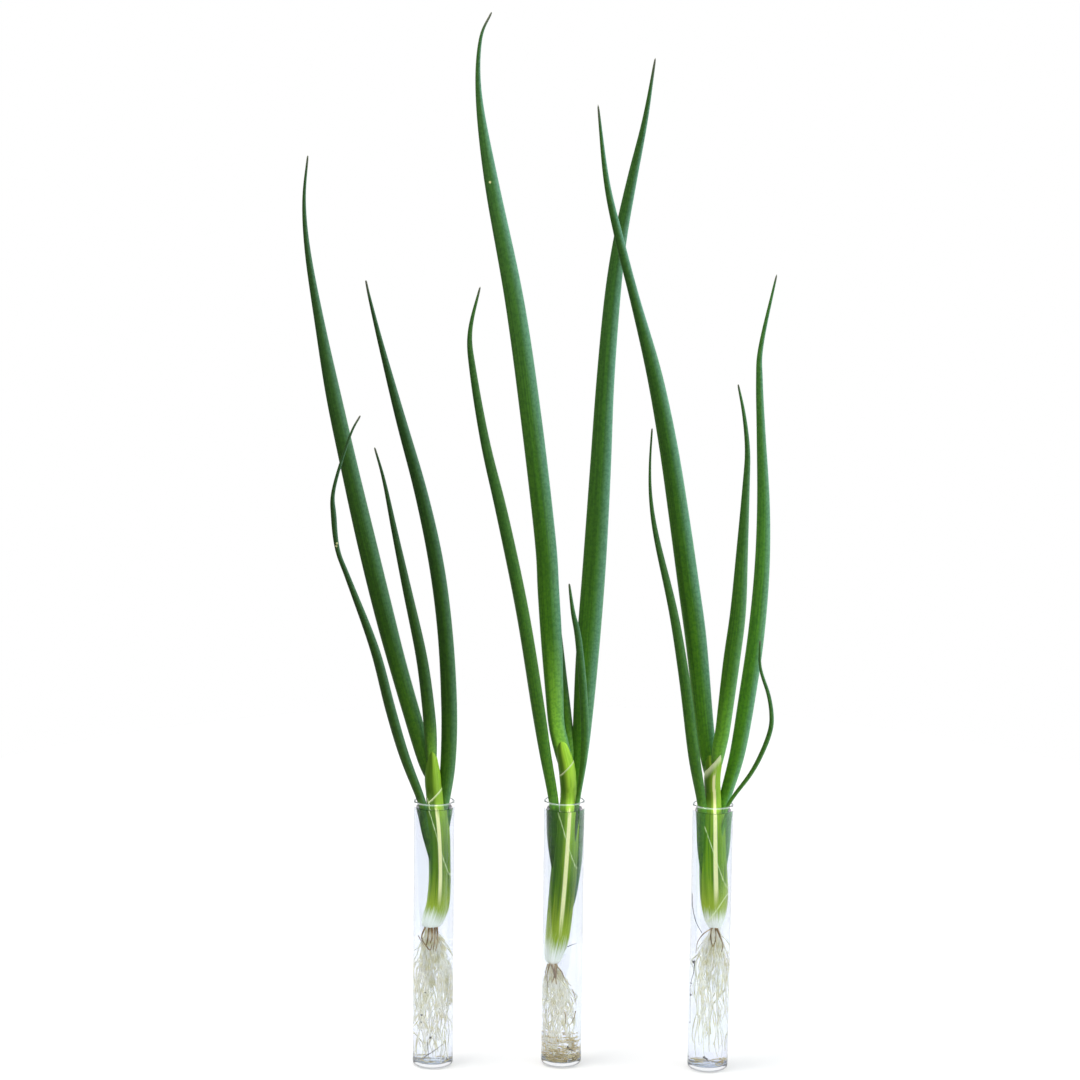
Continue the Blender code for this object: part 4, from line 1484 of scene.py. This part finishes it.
class ONION_OT_sheaths(bpy.types.Operator):
    """Wrap the stems in their leaf sheaths"""

    bl_idname = "onion.sheaths"
    bl_label = "Leaf sheaths"

    def execute(self, context):
        looks = context.scene.onion_leaf
        for number, name in enumerate(SHEATHS):
            make_sheath(name, looks, FIRST_SHEATH_SEED + SHEATH_SEED_STEP * number)
        return {"FINISHED"}


class ONION_OT_roots(bpy.types.Operator):
    """Make the roots under the three bulbs"""

    bl_idname = "onion.roots"
    bl_label = "Roots"

    def execute(self, context):
        looks = context.scene.onion_root
        materials = (
            root_material("living_root", looks.white, looks.khaki),
            root_material("dead_root", looks.brown, DEAD_ROOT_LIGHT),
            root_material("dark_bits", looks.dark, DARK_BIT_LIGHT),
            root_material("sediment", looks.sediment, SEDIMENT_LIGHT),
        )
        for number, side in enumerate(SIDES):
            make_roots(side, looks, materials, FIRST_ROOT_SEED + number)
        return {"FINISHED"}


class ONION_OT_stage(bpy.types.Operator):
    """Set the floor, the lights and the camera"""

    bl_idname = "onion.stage"
    bl_label = "Stage"

    def execute(self, context):
        looks = context.scene.onion_stage
        make_floor(looks)
        make_world(looks)
        make_lights()
        make_camera(looks)
        context.scene.view_settings.view_transform = "Standard"
        return {"FINISHED"}


def make_floor(looks):
    """A round pale floor, partly self-lit so that it melts into the white backdrop."""
    deselect_all()
    bpy.ops.mesh.primitive_circle_add(
        vertices=FLOOR_SIDES, radius=looks.floor_radius, fill_type="NGON",
        location=(0.0, looks.floor_radius * 0.7, -looks.floor_gap),
    )
    floor = named_primitive("floor")
    made, tree, shader = new_material("floor_white")
    grain = add_node(tree, "TexNoise", {"Vector": object_place(tree), "Scale": 900.0}).outputs["Fac"]
    white = mixed(tree, "MIX", grain, FLOOR_DARKER, FLOOR_LIGHTER)
    # The world lights what stands in the tubes more, so the floor behind a tube is made darker
    shown = mixed(tree, "MIX", more_bounces(tree, "Transmission Depth"), white, FLOOR_IN_GLASS)
    tree.links.new(shown, shader.inputs["Base Color"])
    shader.inputs["Emission Color"].default_value = WHITE
    shader.inputs["Emission Strength"].default_value = 0.46
    shader.inputs["Roughness"].default_value = 0.9
    floor.data.materials.append(made)


def make_world(looks):
    """A white backdrop, and for what lights the object a studio with a softbox on the right."""
    world = bpy.data.worlds.new("studio")
    bpy.context.scene.world = world
    world.use_nodes = True
    tree = world.node_tree
    tree.nodes.clear()
    direction = add_node(tree, "TexCoord").outputs["Generated"]
    across, away, up = add_node(tree, "SeparateXYZ", {"Vector": direction}).outputs
    softbox = (0.95, -0.20, 0.24)
    both = {0: direction, 1: softbox}
    to_box = add_node(tree, "VectorMath", both, operation="DOT_PRODUCT").outputs["Value"]
    box = step_between(tree, to_box, 0.50, 0.90)
    rightwards = add_range(tree, across, -0.35, 0.25, 0.3, 1.0)
    behind = times(tree, step_between(tree, away, -0.10, 0.40), rightwards)
    above = step_between(tree, up, 0.35, 0.95)
    room = mixed(tree, "MIX", behind, DIM_ROOM, BRIGHT_ROOM)
    lit_room = mixed(tree, "MIX", above, room, BRIGHT_ROOM)
    studio = mixed(tree, "MIX", box, lit_room, SOFTBOX_LIGHT)
    shine = mixed(tree, "MIX", box, lit_room, SOFTBOX_SHINE)
    in_front = step_between(tree, away, 0.30, -0.15)
    glass_room = mixed(tree, "MIX", in_front, GLASS_BACK, GLASS_FRONT)
    off_surface = more_bounces(tree, "Diffuse Depth")
    off_gloss = more_bounces(tree, "Glossy Depth")
    in_glass = more_bounces(tree, "Transmission Depth")
    mirrored = mixed(tree, "MIX", in_glass, shine, glass_room)
    # Few bounces reach out of the thick of the roots, so the later ones bring more light
    deep = more_bounces(tree, "Diffuse Depth", 1.5)
    once = mixed(tree, "MIX", box, TUBE_LIGHT, TUBE_SOFTBOX)
    lit_tube = mixed(tree, "MIX", deep, once, TUBE_DEEP_LIGHT)
    lighting = mixed(tree, "MIX", in_glass, studio, lit_tube)
    backdrop = (looks.backdrop, looks.backdrop, looks.backdrop, 1.0)
    looked_at = mixed(tree, "MIX", off_gloss, backdrop, mirrored)
    seen = mixed(tree, "MIX", off_surface, looked_at, lighting)
    light = add_node(tree, "Background", {"Color": seen})
    out = add_node(tree, "OutputWorld")
    tree.links.new(light.outputs[0], out.inputs["Surface"])


def make_lights():
    """One soft key light from high on the left, which casts short shadows to the right."""
    light = bpy.data.lights.new("key", "AREA")
    light.shape = "DISK"
    light.size = 0.6
    light.energy = 11.0
    light.specular_factor = 0.15
    key = bpy.data.objects.new("key", light)
    key.location = (-0.42, -0.12, 1.15)
    towards = Vector((0.0, 0.0, 0.1)) - Vector(key.location)
    key.rotation_euler = towards.to_track_quat("-Z", "Y").to_euler()
    bpy.context.scene.collection.objects.link(key)


def make_camera(looks):
    """The camera at the photograph's place, looking along +Y and a little down."""
    view = bpy.data.cameras.new("camera")
    view.lens = looks.camera_lens
    view.sensor_width = 36.0
    view.clip_start = 0.01
    camera = bpy.data.objects.new("camera", view)
    bpy.context.scene.collection.objects.link(camera)
    pitch, roll = looks.camera_pitch, looks.camera_roll
    forward = Vector((0.0, math.cos(pitch), -math.sin(pitch)))
    right = Vector((1.0, 0.0, 0.0))
    up = right.cross(forward)
    rolled_right = math.cos(roll) * right + math.sin(roll) * up
    rolled_up = math.cos(roll) * up - math.sin(roll) * right
    place = Matrix.Identity(4)
    place.col[0].xyz = rolled_right
    place.col[1].xyz = rolled_up
    place.col[2].xyz = -forward
    place.col[3].xyz = looks.camera_place
    camera.matrix_world = place
    bpy.context.scene.camera = camera


class ONION_PT_panel(bpy.types.Panel):
    """Steps that make the spring onions"""

    bl_idname = "ONION_PT_panel"
    bl_label = "Spring onions"
    bl_space_type = "VIEW_3D"
    bl_region_type = "UI"
    bl_category = "Spring onions"

    def draw(self, context):
        for operator in OPERATORS:
            self.layout.operator(operator.bl_idname)
        for group in GROUPS:
            looks = getattr(context.scene, group)
            for name in looks.bl_rna.properties.keys():
                if name not in ("rna_type", "name"):
                    self.layout.prop(looks, name)


GROUPS = {
    "onion_tube": OnionTubeLooks,
    "onion_leaf": OnionLeafLooks,
    "onion_root": OnionRootLooks,
    "onion_stage": OnionStageLooks,
}
OPERATORS = (
    ONION_OT_stage,
    ONION_OT_tubes,
    ONION_OT_water,
    ONION_OT_stems,
    ONION_OT_sheaths,
    ONION_OT_leaves,
    ONION_OT_roots,
)


def register():
    """Register the classes and hang the settings on the scene."""
    for name, group in GROUPS.items():
        bpy.utils.register_class(group)
        setattr(bpy.types.Scene, name, bpy.props.PointerProperty(type=group))
    for made in (*OPERATORS, ONION_PT_panel):
        bpy.utils.register_class(made)


def unregister():
    """Take everything off again, last first."""
    for made in reversed((*OPERATORS, ONION_PT_panel)):
        bpy.utils.unregister_class(made)
    for name, group in GROUPS.items():
        delattr(bpy.types.Scene, name)
        bpy.utils.unregister_class(group)


def main():
    """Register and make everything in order."""
    register()
    bpy.ops.onion.stage()
    bpy.ops.onion.tubes()
    bpy.ops.onion.water()
    bpy.ops.onion.stems()
    bpy.ops.onion.sheaths()
    bpy.ops.onion.leaves()
    bpy.ops.onion.roots()


if __name__ == "__main__":
    main()
